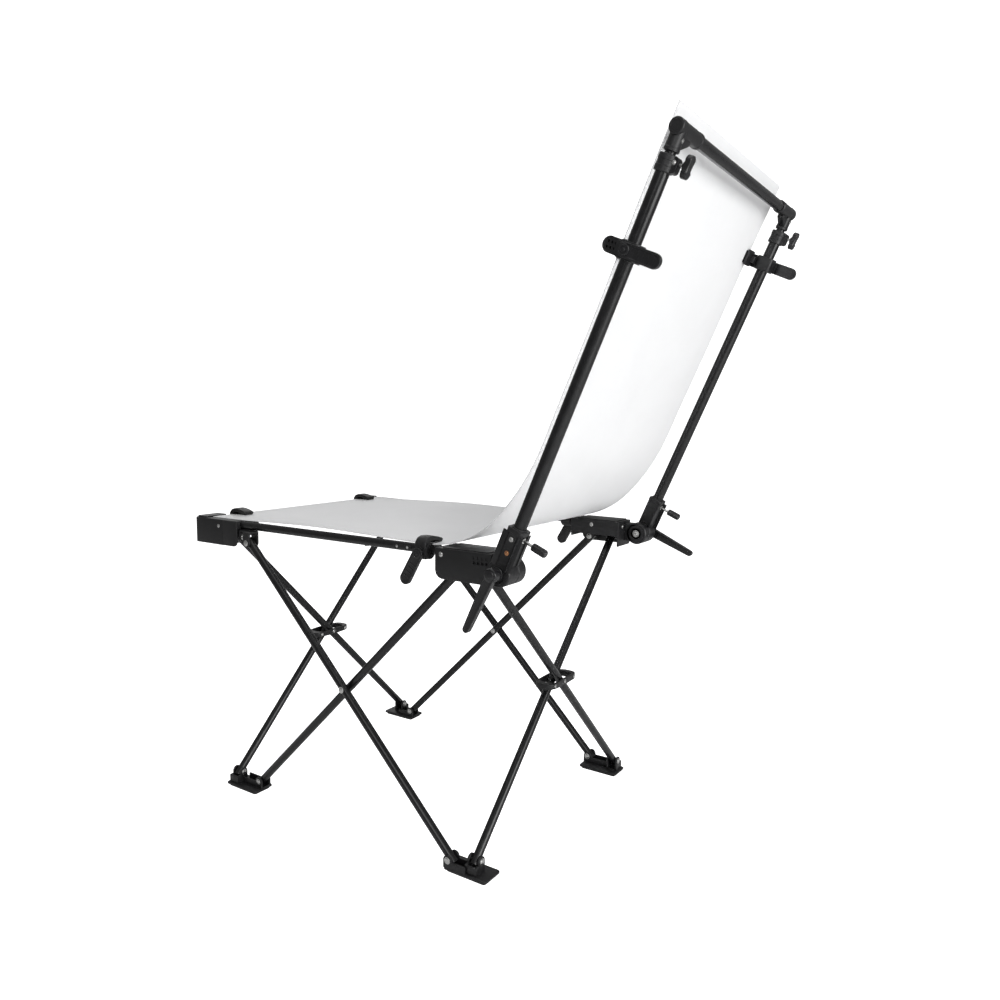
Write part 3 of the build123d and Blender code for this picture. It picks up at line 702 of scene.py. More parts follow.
def ears(pivot, across, root):
    """Two arched ears that hold a pivot, drawn down or up to their plate, each with a raised ring."""
    parts = []
    for sign in (1, -1):
        start = pivot + across * (sign * 10.0)
        ear = turned([(10.2, 0), (11, 0.7), (11, 4.3), (10.3, 5)], place=place_at(start, across * sign))
        toward_plate = 1 if root > pivot.z else -1
        squeeze(ear, "VERT", lambda p: (p.z - pivot.z) * toward_plate > 0.1, (1, 1, 0.03),
                (pivot.x, pivot.y, root))
        ring = turned([(8.6, 4.6), (8.6, 5.4), (8.0, 5.7), (7.7, 5.7), (7.5, 5.0)],
                      place=place_at(start, across * sign))
        parts += [ear, ring]
    return parts


class TABLE_OT_feet(bpy.types.Operator):
    """Model the four feet with their rubber soles"""
    bl_idname = "table.feet"
    bl_label = "Feet"

    def execute(self, context):
        for corner, (right, back, side_leg, end_leg, _, _) in CORNERS.items():
            low, high = box("foot_" + corner)
            plate = block((low.x, high.x), (low.y, high.y), (5, 9))
            round_edges(plate, upright, 6, 3)
            edit(plate, "FACE", facing_up)
            draw_out((0, 0, 1.2))
            resize((0.95, 0.97, 1), ((low.x + high.x) / 2, (low.y + high.y) / 2, 9))
            clear()
            soften(plate, 0.5, 2)
            parts = [plate]
            side_pivot = leg_pivots(side_leg)[1]
            end_pivot = leg_pivots(end_leg)[1]
            parts += ears(side_pivot, Vector((1, 0, 0)), 9)
            parts += ears(end_pivot, Vector((0, 1, 0)), 9)
            for pivot, across in ((side_pivot, Vector((1, 0, 0))), (end_pivot, Vector((0, 1, 0)))):
                other = Vector((0, 1, 0)) if across.x else Vector((1, 0, 0))
                for sign in (1, -1):
                    foot_of = pivot + other * (sign * 11.5)
                    rib = block((-9.5, 9.5), (-1.6, 1.6), (9, 13.5),
                                place_at((foot_of.x, foot_of.y, 0), x=across))
                    parts.append(soften(rib, 0.6, 2))
            parts += self.housing(side_pivot, end_pivot, right, back)
            fitted(joined(parts, "foot_moulding_" + corner), FOOT_BODIES[corner], "feet", "Black moulding",
                   "foot_" + corner)
            sole = block((low.x + 3.5, high.x - 3.5), (low.y + 3.5, high.y - 3.5), (0, 5.3))
            round_edges(sole, upright, 5, 4)
            squeeze(sole, "FACE", facing_down, (0.94, 0.965, 1),
                    ((low.x + high.x) / 2, (low.y + high.y) / 2, 0))
            panel(sole, facing_down, 5, 1.2)
            soften(sole, 0.5, 2)
            fitted(joined([sole], "foot_sole_" + corner), FOOT_BODIES[corner], "feet", "Sole rubber")
        return {"FINISHED"}

    def housing(self, side_pivot, end_pivot, right, back):
        """Walls that box in the end leg and join the ears of both legs."""
        outer = right * 16.8
        walls = []
        for sign in (1, -1):
            y = sorted((end_pivot.y + sign * 10.2, end_pivot.y + sign * 14.8))
            walls.append(((end_pivot.x - right * 9, end_pivot.x + outer), y, (8.5, 29)))
            x = sorted((side_pivot.x + sign * 10.2, side_pivot.x + sign * 14.8))
            walls.append((x, (side_pivot.y - back * 9, end_pivot.y - back * 10.4), (8.5, 24)))
        walls.append(((end_pivot.x + outer, end_pivot.x + outer + right * 4),
                      (end_pivot.y - 14.8, end_pivot.y + 14.8), (8.5, 29)))
        return [soften(block(*(sorted(limits) for limits in wall)), 1.2, 3) for wall in walls]


class TABLE_OT_leg_blocks(bpy.types.Operator):
    """Model the blocks that the legs hang from"""
    bl_idname = "table.leg_blocks"
    bl_label = "Leg blocks"

    def execute(self, context):
        for corner, (right, back, _, _, side_leg, end_leg) in CORNERS.items():
            side_pivot = leg_pivots(side_leg)[0]
            end_pivot = leg_pivots(end_leg)[0]
            high = box("leg_block_" + corner)[1]
            floor = high.z - 4
            plate = block((side_pivot.x - EAR_REACH, side_pivot.x + EAR_REACH),
                          (side_pivot.y - 11, side_pivot.y + 11), (floor, high.z))
            arm = block((end_pivot.x - 11, end_pivot.x + 11), (side_pivot.y, end_pivot.y + back * EAR_REACH),
                        (floor, high.z))
            parts = [soften(plate, 0.9, 2), soften(arm, 0.9, 2)]
            parts += ears(side_pivot, Vector((1, 0, 0)), floor + 1)
            parts += ears(end_pivot, Vector((0, 1, 0)), floor + 1)
            middle_y = (side_pivot.y + end_pivot.y) / 2
            web = block((end_pivot.x - 1.5, end_pivot.x + 1.5), (side_pivot.y, middle_y + back * 14),
                        (floor - 7, floor + 1))
            parts.append(soften(web, 0.6, 2))
            fitted(joined(parts, "leg_block_moulding_" + corner), BLOCK_BODIES[corner], "mouldings",
                   "Black moulding", "leg_block_" + corner)
        return {"FINISHED"}


class TABLE_OT_leg_rivets(bpy.types.Operator):
    """Model the domed rivets and the end plugs of the eight leg tubes"""
    bl_idname = "table.leg_rivets"
    bl_label = "Leg rivets and plugs"

    def execute(self, context):
        head = dome_head(context.scene.table_sizes.rivet_radius / MM)
        small_head = dome_head(3.0, 1.6)
        plug = turned([(8.4, -5), (8.4, 0), (9.3, 0.05), (9.3, 0.5), (8.3, 1.0), (4, 1.15), (0.2, 1.2)])
        for leg, (top_side, carries_cross) in LEGS.items():
            top, bottom, across = leg_pivots(leg)
            along = (top - bottom).normalized()
            heads = []
            for pivot in (top, bottom):
                shank = turned([(3, -EAR_REACH), (3, EAR_REACH)], 24, place_at(pivot, across))
                heads += [copied(head, place_at(pivot + across * EAR_REACH, across)),
                          copied(head, place_at(pivot - across * EAR_REACH, across * -1)), shank]
            centre = (top + bottom) / 2
            if carries_cross:
                side = leg.startswith(("right", "left"))
                reach = 19.5 if side else 24.5
                outward = 1 if centre.dot(across) > 0 else -1
                cross = centre - across * (outward * 10.0)
                end = head if side else small_head
                heads += [copied(end, place_at(cross + across * reach, across)),
                          copied(end, place_at(cross - across * reach, across * -1)),
                          turned([(3, -reach), (3, reach)], 24, place_at(cross, across))]
            fitted(joined(heads, "leg_rivets_" + leg), leg + "_leg", "fasteners", "Bright steel",
                   "rivets_" + leg)
            plugs = [copied(plug, place_at(top + along * 10.0, along)),
                     copied(plug, place_at(bottom - along * 10.0, along * -1))]
            fitted(joined(plugs, "leg_plugs_" + leg), leg + "_leg", "mouldings", "Black moulding")
        spare(head, small_head, plug)
        return {"FINISHED"}


class TABLE_OT_hubs(bpy.types.Operator):
    """Model the oval hubs round the crossings of the end legs"""
    bl_idname = "table.hubs"
    bl_label = "Leg hubs"

    def execute(self, context):
        for end in ("back", "front"):
            low, high = box("leg_hub_" + end)
            centre = (low + high) / 2
            half = (high - low) / 2
            ring = block((-half.x, half.x), (-half.y, half.y), (-half.z, half.z))
            round_edges(ring, upright, 19, 8)
            edit(ring, "FACE", lambda c, n: abs(n.z) > 0.9)
            bpy.ops.mesh.inset(thickness=4.0 * MM, use_boundary=True)
            resize((46.0 / (half.x - 4.0), 1, 1), (0, 0, 0))
            bpy.ops.mesh.bridge_edge_loops()
            clear()
            sliced(ring, -42, -32, -20, -8, 8, 20, 32, 42)
            for reach, height in ((62, 0.80), (50, 0.86), (40, 0.93), (25, 0.98)):
                squeeze(ring, "VERT", lambda p: abs(p.x) > reach - 12 and abs(p.x) <= reach + 1,
                        (1, 1, height), (0, 0, 0))
            soften(ring, 1.1, 3, 40)
            parts = [ring]
            for side in (1, -1):
                out = (0, side, 0)
                parts.append(turned([(7.2, -1.5), (7.2, 0.6), (6.6, 1.2), (5.2, 1.2), (5.0, 0.8), (0.2, 0.8)],
                                    place=place_at((0, side * (half.y - 0.6), 0), out)))
                for x in (-44, 44):
                    parts.append(turned([(5.6, -2), (5.6, 0.3), (5.0, 0.8), (0.2, 0.8)], 32,
                                        place_at((x, side * (half.y - 0.9), 0), out)))
            hub = settle(joined(parts, "hub_moulding_" + end), Matrix.Translation(centre * MM))
            body = end + "_hub"
            fitted(hub, body, "mouldings", "Black moulding", "leg_hub_" + end)
            pins = []
            for side in (1, -1):
                for x in (-44, 44):
                    pin = dome_head(2.6, 1.6)
                    pins.append(settle(pin, place_at((centre.x + x, centre.y + side * (half.y - 0.4),
                                                      centre.z), (0, side, 0))))
            fitted(joined(pins, "hub_rivets_" + end), body, "fasteners", "Bright steel")
        return {"FINISHED"}


# Top frame

FRONT = box("front_block_right")
BACK = box("back_block_right")


def both_sides(right, name, body, slot, finish, node="", rise=0.0):
    """Fit a right-hand piece and its mirrored copy, which may sit further up its post.

    In the names, {} stands for the side.
    """
    left = copied(right, Matrix.Translation(SLIDE * rise * MM) @ MIRROR)
    for piece, side in ((right, "right"), (left, "left")):
        piece.name = piece.data.name = name.format(side)
        fitted(piece, body.format(side), slot, finish, *([node.format(side)] if node else []))


class TABLE_OT_front_blocks(bpy.types.Operator):
    """Model the moulded blocks at the front corners"""
    bl_idname = "table.front_blocks"
    bl_label = "Front blocks"

    def execute(self, context):
        low, high = FRONT
        core_back = low.y + 106
        roof = RAIL.z - RAIL_RADIUS
        core = block((low.x, high.x), (low.y, core_back), (low.z, high.z))
        round_edges(core, lambda a, b: abs(a.z - b.z) > 1 and a.y < low.y + 1, 7, 5)
        panel(core, facing_down, 4, 12)
        soften(core, context.scene.table_sizes.rounding / MM, 3)
        top = soften(block((low.x, high.x - 1.5), (core_back - 2, high.y - 0.5), (roof, high.z)), 1.2, 3)
        wall = block((high.x - 4, high.x - 0.4), (core_back - 3, high.y), (low.z + 0.4, high.z - 1))
        round_edges(wall, lambda a, b: abs(a.x - b.x) > 1 and a.y > high.y - 1 and a.z < low.z + 1, 14, 6)
        soften(wall, 0.9, 3)
        jaw = block((low.x + 3, high.x - 4), (low.y + 3, low.y + 39), (high.z - 1, high.z + 3.4))
        round_edges(jaw, upright, 6, 4)
        soften(jaw, 1.0, 3)
        parts = [core, top, wall, jaw]
        both_sides(joined(parts), "front_moulding_{}", "top_frame",
                   "mouldings", "Black moulding", "front_block_{}")
        return {"FINISHED"}


class TABLE_OT_back_blocks(bpy.types.Operator):
    """Model the moulded blocks at the back corners with the lugs of the recline hinge"""
    bl_idname = "table.back_blocks"
    bl_label = "Back blocks"

    def execute(self, context):
        low, high = BACK
        back = HINGE.y - 32
        roof = RAIL.z - RAIL_RADIUS
        top = soften(block((low.x, high.x - 1.5), (low.y + 0.5, back - 0.5), (roof, high.z)), 1.2, 3)
        plate = block((low.x + 4, high.x - 3), (low.y + 16, back - 8), (high.z - 1, high.z + 2.2))
        round_edges(plate, upright, 5, 4)
        soften(plate, 0.9, 2)
        wall = block((high.x - 4, high.x), (low.y, back), (low.z, high.z - 0.4))
        round_edges(wall, lambda a, b: abs(a.x - b.x) > 1 and a.y < low.y + 1 and a.z < low.z + 1, 17, 3)
        round_edges(wall, lambda a, b: abs(a.x - b.x) > 1 and a.y > back - 1 and a.z < low.z + 1, 6, 4)
        soften(wall, 1.0, 3)
        pockets = [block((high.x - 3.2, high.x + 1), (back - 12 - 10 * column, back - 5 - 10 * column),
                         (high.z - 15 - 9 * row, high.z - 8.5 - 9 * row)) for column in range(4)
                   for row in range(2)]
        cut(wall, *pockets)
        front_wall = soften(block((low.x + 0.8, high.x - 1), (low.y + 1, low.y + 5),
                                  (low.z + 18, high.z - 1)), 1.0, 2)
        back_wall = soften(block((low.x + 0.8, high.x - 1), (back - 5, back - 1), (low.z, high.z - 1)), 1.0,
                           2)
        inner_wall = soften(block((low.x + 0.4, low.x + 4), (low.y + 1.5, back - 1.5),
                                  (low.z + 26, high.z - 1)), 1.0, 2)
        parts = [top, plate, wall, front_wall, back_wall, inner_wall]
        for offset in (30, 68, 106):
            rib = block((low.x + 3, high.x - 3), (low.y + offset - 1.5, low.y + offset + 1.5),
                        (roof - 7, roof + 1))
            parts.append(soften(rib, 0.6, 2))
        lug_in, lug_out = RAIL.x - 16, RAIL.x + 10.5
        arm = soften(block((lug_in, lug_out), (back - 2, HINGE.y), (HINGE.z - 20, HINGE.z + 24)), 1.5, 3)
        depth = lug_out - lug_in
        disc = turned([(24.5, 0), (27, 2.2), (27, depth - 2.0), (25.5, depth - 0.4), (20, depth),
                       (19.4, depth - 0.9), (0.3, depth - 0.9)], 64, at_hinge(lug_in))
        ring = turned([(20, 0.5), (20, -0.9), (18.6, -1.4), (14, -1.4), (13.4, 0)], 56,
                      at_hinge(lug_in))
        parts += [arm, disc, ring]
        both_sides(joined(parts), "back_moulding_{}", "top_frame",
                   "mouldings", "Black moulding", "back_block_{}")
        return {"FINISHED"}


class TABLE_OT_frame_fasteners(bpy.types.Operator):
    """Model the hinge bolts, the screws of the blocks and the strips on the rails"""
    bl_idname = "table.frame_fasteners"
    bl_label = "Frame fasteners"

    def execute(self, context):
        bolt_out = box("hinge_bolts")[1].x
        inner = RAIL.x - 16
        head = turned([(6.4, 0), (7, 0.5), (7, 4.2), (6.4, 5.2), (4.6, 5.6), (0.3, 5.6)], 6,
                      at_hinge(inner - 0.2, -1))
        soften(head, 0.4, 2, 20)
        washer = turned([(8.8, 0), (8.8, 1.2), (8.4, 1.5), (0.3, 1.5)], 40,
                        at_hinge(inner, -1))
        shank = turned([(4.9, 0), (4.9, bolt_out - inner - 3)], 32, at_hinge(inner))
        cap = turned([(10.6, -2.2), (10.6, -0.5), (9.6, 0.2), (7.4, 0.9), (4.2, 1.3), (0.3, 1.4)], 48,
                     at_hinge(bolt_out - 1.4))
        both_sides(cap, "hinge_cap_{}", "top_frame", "mouldings", "Black handle")
        bolt = joined([head, washer, shank])
        bolts = joined([bolt, copied(bolt, MIRROR)], "hinge_bolt_pair")
        fitted(bolts, "top_frame", "fasteners", "Bright steel", "hinge_bolts")

        screw = screw_head()
        front_low, front_high = FRONT
        back_low, back_high = BACK
        spots = [
            ((front_high.x - 0.4, front_low.y + 90, front_high.z - 16), (1, 0, 0)),
            ((back_high.x, back_low.y + 15, back_high.z - 13), (1, 0, 0)),
            ((front_low.x, front_low.y + 40, front_high.z - 20), (-1, 0, 0)),
            ((back_low.x, back_low.y + 60, back_high.z - 12), (-1, 0, 0)),
            ((back_low.x + 24, HINGE.y - 32, back_high.z - 14), (0, 1, 0)),
            ((RAIL.x, 60, RAIL.z - 9.2), (0, 0, -1)),
        ]
        screws = [copied(screw, place_at(spot, way, (0, 1, 0) if way[1] == 0 else (1, 0, 0))) for spot,
                  way in spots]
        screws += [copied(piece, MIRROR) for piece in list(screws)]
        fitted(joined(screws, "frame_screws"), "top_frame", "fasteners", "Bright steel")
        spare(screw)

        strip = lobe(-20, 20, 4.2, 4.2, (0, 1.6), 32,
                     place_at((RAIL.x + 9.0, 168, RAIL.z), (1, 0, 0), (0, 1, 0)))
        soften(strip, 0.5, 2)
        both_sides(strip, "rail_strip_{}", "top_frame", "mouldings", "Black moulding")
        dots = [settle(dome_head(1.7, 1.2),
                       place_at((RAIL.x + 10.4, 168 + side * 14, RAIL.z), (1, 0, 0), (0, 1, 0)))
                for side in (1, -1)]
        both_sides(joined(dots), "rail_strip_rivets_{}", "top_frame",
                   "fasteners", "Bright steel")
        return {"FINISHED"}


class TABLE_OT_lock_levers(bpy.types.Operator):
    """Model the tapered levers that lock the recline hinge"""
    bl_idname = "table.lock_levers"
    bl_label = "Lock levers"

    def execute(self, context):
        for side, sign, angle in (("right", 1, 26.0), ("left", -1, -66.0)):
            low, high = box("lock_lever_" + side)
            start, end = sorted((abs(low.x), abs(high.x)))
            swing = math.radians(angle)
            along = Vector((0, -math.sin(swing), -math.cos(swing)))
            hub_place = place_at((sign * start, HINGE.y, HINGE.z), (sign, 0, 0), along)
            hub = turned([(13.2, 0), (14, 0.8), (14, 4), (13.2, 4.5), (13.2, 5.6), (14, 6.1), (14, 23.5),
                          (13, 25.2), (11.2, 26), (10.9, 24.9), (0.3, 24.9)], 56, hub_place)
            arm_place = place_at((sign * (end - 13), HINGE.y, HINGE.z), (sign, 0, 0), along)
            arm = lobe(0, 122, 11, 7, (0.4, 12.6), 48)
            recess(arm, facing_up, 3.2, (0, 0, -1.5))
            nudge(arm, lambda p: p.x > 100, z=1.6)
            soften(arm, 2.2, 5, 40)
            settle(arm, arm_place)
            fitted(joined([hub, arm], "lock_handle_" + side), "lock_" + side, "handles", "Black handle",
                   "lock_lever_" + side)
        return {"FINISHED"}


class TABLE_OT_post_sockets(bpy.types.Operator):
    """Model the sockets of the posts with their screws"""
    bl_idname = "table.post_sockets"
    bl_label = "Post sockets"

    def execute(self, context):
        inner = RAIL.x + 11
        outer = inner + 34
        disc = turned([(25.6, 0), (27, 1.4), (27, 31.4), (25.2, 33.6), (18.5, 34), (17.8, 32.6),
                       (14.6, 32.6), (14.2, 33.8), (0.3, 33.8)], 64, at_hinge(inner))
        square = at_post(0)
        sleeve_out = block((-17, 17), (-17, 17), (10, 90))
        round_edges(sleeve_out, upright, 5, 5)
        panel(sleeve_out, lambda c, n: n.x > 0.95, 3.2, 0.9)
        panel(sleeve_out, lambda c, n: n.y > 0.95, 3.2, 0.9)
        soften(sleeve_out, 0.8, 2, 30)
        settle(sleeve_out, square)
        lip = block((-17.6, 17.6), (-17.6, 17.6), (86, 95))
        round_edges(lip, upright, 6, 5)
        soften(lip, 1.2, 3, 30)
        settle(lip, square)
        collar = turned([(15.4, 94), (15.4, 96.4), (14.6, 97.4), (13, 97.6), (12.2, 96)], 48, square)
        both_sides(joined([disc, sleeve_out, lip, collar]), "socket_{}", "backrest",
                   "mouldings", "Black moulding", "post_socket_{}")
        screw = screw_head(4.0)
        settle(screw, place_at(on_post(74, 0, outer - 0.6), (1, 0, 0), SLIDE))
        both_sides(screw, "socket_screw_{}", "backrest", "fasteners", "Bright steel")
        rivet = dome_head(3.4, 1.7)
        settle(rivet, place_at(on_post(46, 2, outer - 0.6), (1, 0, 0), SLIDE))
        both_sides(rivet, "socket_rivet_{}", "backrest", "fasteners", "Copper rivet")
        return {"FINISHED"}


class TABLE_OT_knobs(bpy.types.Operator):
    """Model the knurled thumb screws and the wing knobs"""
    bl_idname = "table.knobs"
    bl_label = "Thumb screws and wing knobs"

    def execute(self, context):
        knob = turned([(7.2, 0), (7.8, 0.7), (7.8, 4.0), (7.0, 4.3), (7.0, 5.0), (7.5, 5.3), (7.5, 28.4),
                       (7.0, 30.0), (5.6, 31), (5.2, 30.4), (0.3, 30.4)], 48)
        edit(knob, "FACE", lambda c, n: abs(n.z) < 0.1 and 6 < c.z < 28 and
             round((math.atan2(c.y, c.x) - math.pi / 48) / (math.pi / 24)) % 2 == 0)
        bpy.ops.mesh.extrude_faces_move(TRANSFORM_OT_shrink_fatten={"value": 0.5 * MM})
        clear()
        settle(knob, at_post(THUMB_AT, 39, REAR))
        both_sides(knob, "thumb_knob_{}", "thumb_{}", "handles", "Black handle", "thumb_screw_{}")
        stud = turned([(2.9, 13.2), (2.9, 16.5), (5.6, 16.6), (5.6, 18.0), (2.9, 18.2), (2.9, 39.6)], 32,
                      at_post(THUMB_AT, 0, REAR))
        both_sides(stud, "thumb_stud_{}", "thumb_{}", "fasteners", "Bright steel")

        wing_place = at_post(WING_AT, 0, REAR, SLIDE)
        wings = lobe(-9.2, 9.2, 9.6, 9.6, (32.6, 42.6), 40)
        nudge(wings, lambda p: abs(p.x) > 9.3 and p.z > 38, z=0.8)
        sliced(wings, -5, 5)
        squeeze(wings, "VERT", lambda p: abs(p.x) < 5.2, (1, 0.84, 1), (0, 0, 38))
        soften(wings, 1.8, 4, 40)
        hub = turned([(5.2, 29.5), (6.6, 30.4), (6.6, 41.9), (5.6, 43.0), (0.3, 43.2)], 40)
        wing = settle(joined([wings, hub]), wing_place)
        both_sides(wing, "wing_{}_grip", "wing_{}", "handles", "Black handle",
                   "wing_knob_{}")
        stud = turned([(2.4, 10.6), (2.4, 19), (5.4, 19.1), (5.4, 20.4), (2.4, 20.6), (2.4, 30.5)], 32,
                      wing_place)
        both_sides(stud, "wing_stud_{}", "wing_{}", "fasteners", "Bright steel")
        return {"FINISHED"}


class TABLE_OT_collars(bpy.types.Operator):
    """Model the collars at the tops of the posts"""
    bl_idname = "table.collars"
    bl_label = "Post collars"

    def execute(self, context):
        start, end = WING_AT - 18, WING_AT + 10
        place = at_post(0)
        sleeve = turned([(15.2, start), (16.5, start + 1.4), (16.5, start + 9), (15.8, start + 9.6),
                         (15.8, end - 9.6), (16.5, end - 9), (16.5, end - 1.6), (15.4, end - 0.2),
                         (11.4, end), (11, end - 1.4), (9.7, end - 1.6)], 56, place)
        ear = block((-8, 8), (9.5, 23.5), (start + 1, end - 1))
        round_edges(ear, lambda a, b: abs(a.x - b.x) > 1 and a.y > 20, 6, 5)
        panel(ear, lambda c, n: abs(n.x) > 0.95, 2.6, 0.8)
        soften(ear, 0.9, 3)
        settle(ear, place)
        both_sides(joined([sleeve, ear]), "collar_{}", "backrest", "mouldings", "Black moulding")
        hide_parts("post_collars")
        screw = screw_head(3.4)
        settle(screw, place_at(on_post(WING_AT, 15.5, POST_X + 7.4), (1, 0, 0), SLIDE))
        both_sides(screw, "collar_screw_{}", "backrest", "fasteners", "Bright steel")
        return {"FINISHED"}


class TABLE_OT_corner_brackets(bpy.types.Operator):
    """Model the brackets that join the inner posts to the top bar"""
    bl_idname = "table.corner_brackets"
    bl_label = "Corner brackets"

    def execute(self, context):
        start, bar = BRACKET_AT, TOP_BAR_AT
        stem = turned([(12.2, start), (13.5, start + 1.4), (13.5, start + 6), (12.8, start + 6.8),
                       (12.8, bar), (11.5, bar + 6.5), (8.4, bar + 11), (4.4, bar + 13), (0.3, bar + 13.4)],
                      56, at_post(0))
        bar_place = place_at(on_post(bar, 0, POST_X - 78), (1, 0, 0), SLIDE)
        sleeve = turned([(12.0, 0), (13.5, 1.4), (13.5, 9), (12.9, 9.8), (12.9, 90.0), (13.4, 90.6),
                         (13.4, 93.6), (12.4, 94.8), (9.6, 95), (9.2, 94.2), (0.3, 94.2)], 56, bar_place)
        web = block((-30, 6), (-7, 7), (start + 3, bar - 5))
        nudge(web, lambda p: p.x < -29 and p.z < start + 4, z=17)
        round_edges(web, lambda a, b: abs(a.y - b.y) > 1 and a.x < 0 and a.z < start + 10, 9, 6)
        soften(web, 1.6, 3)
        settle(web, place_at(on_post(0, 0, POST_X - 12), SLIDE))
        both_sides(joined([stem, sleeve, web]), "corner_{}", "head_frame", "mouldings",
                   "Black moulding")
        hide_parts("corner_brackets")
        rivet = dome_head(2.6, 1.5)
        rivets = [copied(rivet, at_post(start + 20, 12.6, REAR)),
                  copied(rivet, place_at(on_post(bar + 12.4, 0, POST_X - 50), SLIDE, (1, 0, 0)))]
        spare(rivet)
        both_sides(joined(rivets), "corner_rivets_{}", "head_frame", "fasteners",
                   "Bright steel")
        return {"FINISHED"}


def rail_clip(place):
    """A hook-shaped clip in its own frame: x is inboard, y is along the rail and z is up."""
    jaw = swept([(-17.5, -3), (-18, 6), (-16.5, 14), (-11, 20.2), (-2, 23), (10, 22.6), (22, 20.6),
                 (31, 18.4), (37.4, 16.2)], [9.5, 9.8, 10, 10, 9.5, 9, 8, 7, 5.6], 28)
    soften(jaw, 1.6, 4, 45)
    body = turned([(15.6, -14.6), (17, -13.2), (17, 13.2), (15.6, 14.6)], 56,
                  place_at((-4, 0, -2.5), (0, 1, 0), (1, 0, 0)))
    block_low = block((-23, -10), (-14.2, 14.2), (-18, 6))
    round_edges(block_low, lambda a, b: abs(a.y - b.y) > 1, 4, 4)
    soften(block_low, 0.9, 2, 40)
    pad = soften(block((16, 36.5), (-12.5, 12.5), (12.4, 15.8)), 0.9, 3)
    rib = swept([(-8, 25.6), (4, 27.4), (18, 25.2)], [1.6, 2.4, 1.2], 9)
    soften(rib, 0.5, 2, 45)
    boss = turned([(7.2, 0), (7.2, 1.0), (6.4, 1.6), (5.4, 1.6), (5.0, 0.9), (0.3, 0.9)], 36,
                  place_at((-23, 0, 1), (-1, 0, 0), (0, 1, 0)))
    return settle(joined([jaw, body, block_low, pad, rib, boss]), place)


def paddle(place, reach=62):
    """A clip's lever in its own frame: x runs from the pivot to the tip and z is outboard."""
    grip = lobe(0, reach, 12.4, 13, (1.0, 9.0), 44)
    recess(grip, facing_up, 3.0, (0, 0, -1.4))
    nudge(grip, lambda p: p.x > reach - 12 and p.z > 8.5, z=1.0)
    soften(grip, 1.3, 4, 35)
    boss = turned([(9.4, 0.2), (9.4, 9.4), (8.4, 10.0), (6.2, 10.0), (5.9, 9.2), (0.3, 9.2)], 40)
    parts = [grip, boss]
    for x in (26, 36, 46, 56):
        parts.append(soften(lobe(-7.5, 7.5, 0.9, 0.9, (7.2, 8.4), 12,
                                 place_at((x, 0, 0), (0, 0, 1), (0, 1, 0))), 0.3, 2))
    return settle(joined(parts), place)


class TABLE_OT_table_clips(bpy.types.Operator):
    """Model the clips on the rails and on the front bar with their paddles"""
    bl_idname = "table.table_clips"
    bl_label = "Table clips"

    def execute(self, context):
        rail_y = box("clip_lever_rail_right")[1].y - 13
        bar_x = box("clip_lever_bar_right")[1].x - 13
        tilt = math.radians(30)
        spots = {
            "rail_right": ((RAIL.x, rail_y, RAIL.z), (-1, 0, 0), (0, -1, 0)),
            "rail_left": ((-RAIL.x, rail_y, RAIL.z), (1, 0, 0), (0, -1, 0)),
            "bar_right": ((bar_x, FRONT_BAR.y, RAIL.z), (0, 1, 0), (-1, 0, 0)),
            "bar_left": ((-bar_x, FRONT_BAR.y, RAIL.z), (0, 1, 0), (1, 0, 0)),
        }
        jaws, screws = [], []
        for name, (spot, inboard, forward) in spots.items():
            jaws.append(rail_clip(place_at(spot, (0, 0, 1), inboard)))
            outward = Vector(inboard) * -1
            screws.append(settle(screw_head(3.2),
                                 place_at(Vector(spot) + outward * 24 + Vector((0, 0, 1)), outward,
                                          (0, 0, 1))))
            hang = Vector(forward) * math.sin(tilt) - Vector((0, 0, math.cos(tilt)))
            pivot = Vector(spot) + outward * 23 - Vector((0, 0, 6))
            grip = paddle(place_at(pivot, outward, hang))
            fitted(joined([grip], "paddle_grip_" + name), "paddle_" + name, "handles", "Black handle",
                   "clip_lever_" + name)
            pin = settle(dome_head(2.4, 1.4), place_at(pivot + outward * 9.2, outward, (0, 0, 1)))
            fitted(joined([pin], "paddle_pin_" + name), "paddle_" + name, "handles", "Black handle")
        fitted(joined(jaws, "table_clip_jaws"), "top_frame", "mouldings", "Black moulding", "table_clips")
        fitted(joined(screws, "table_clip_screws"), "top_frame", "fasteners", "Bright steel")
        return {"FINISHED"}


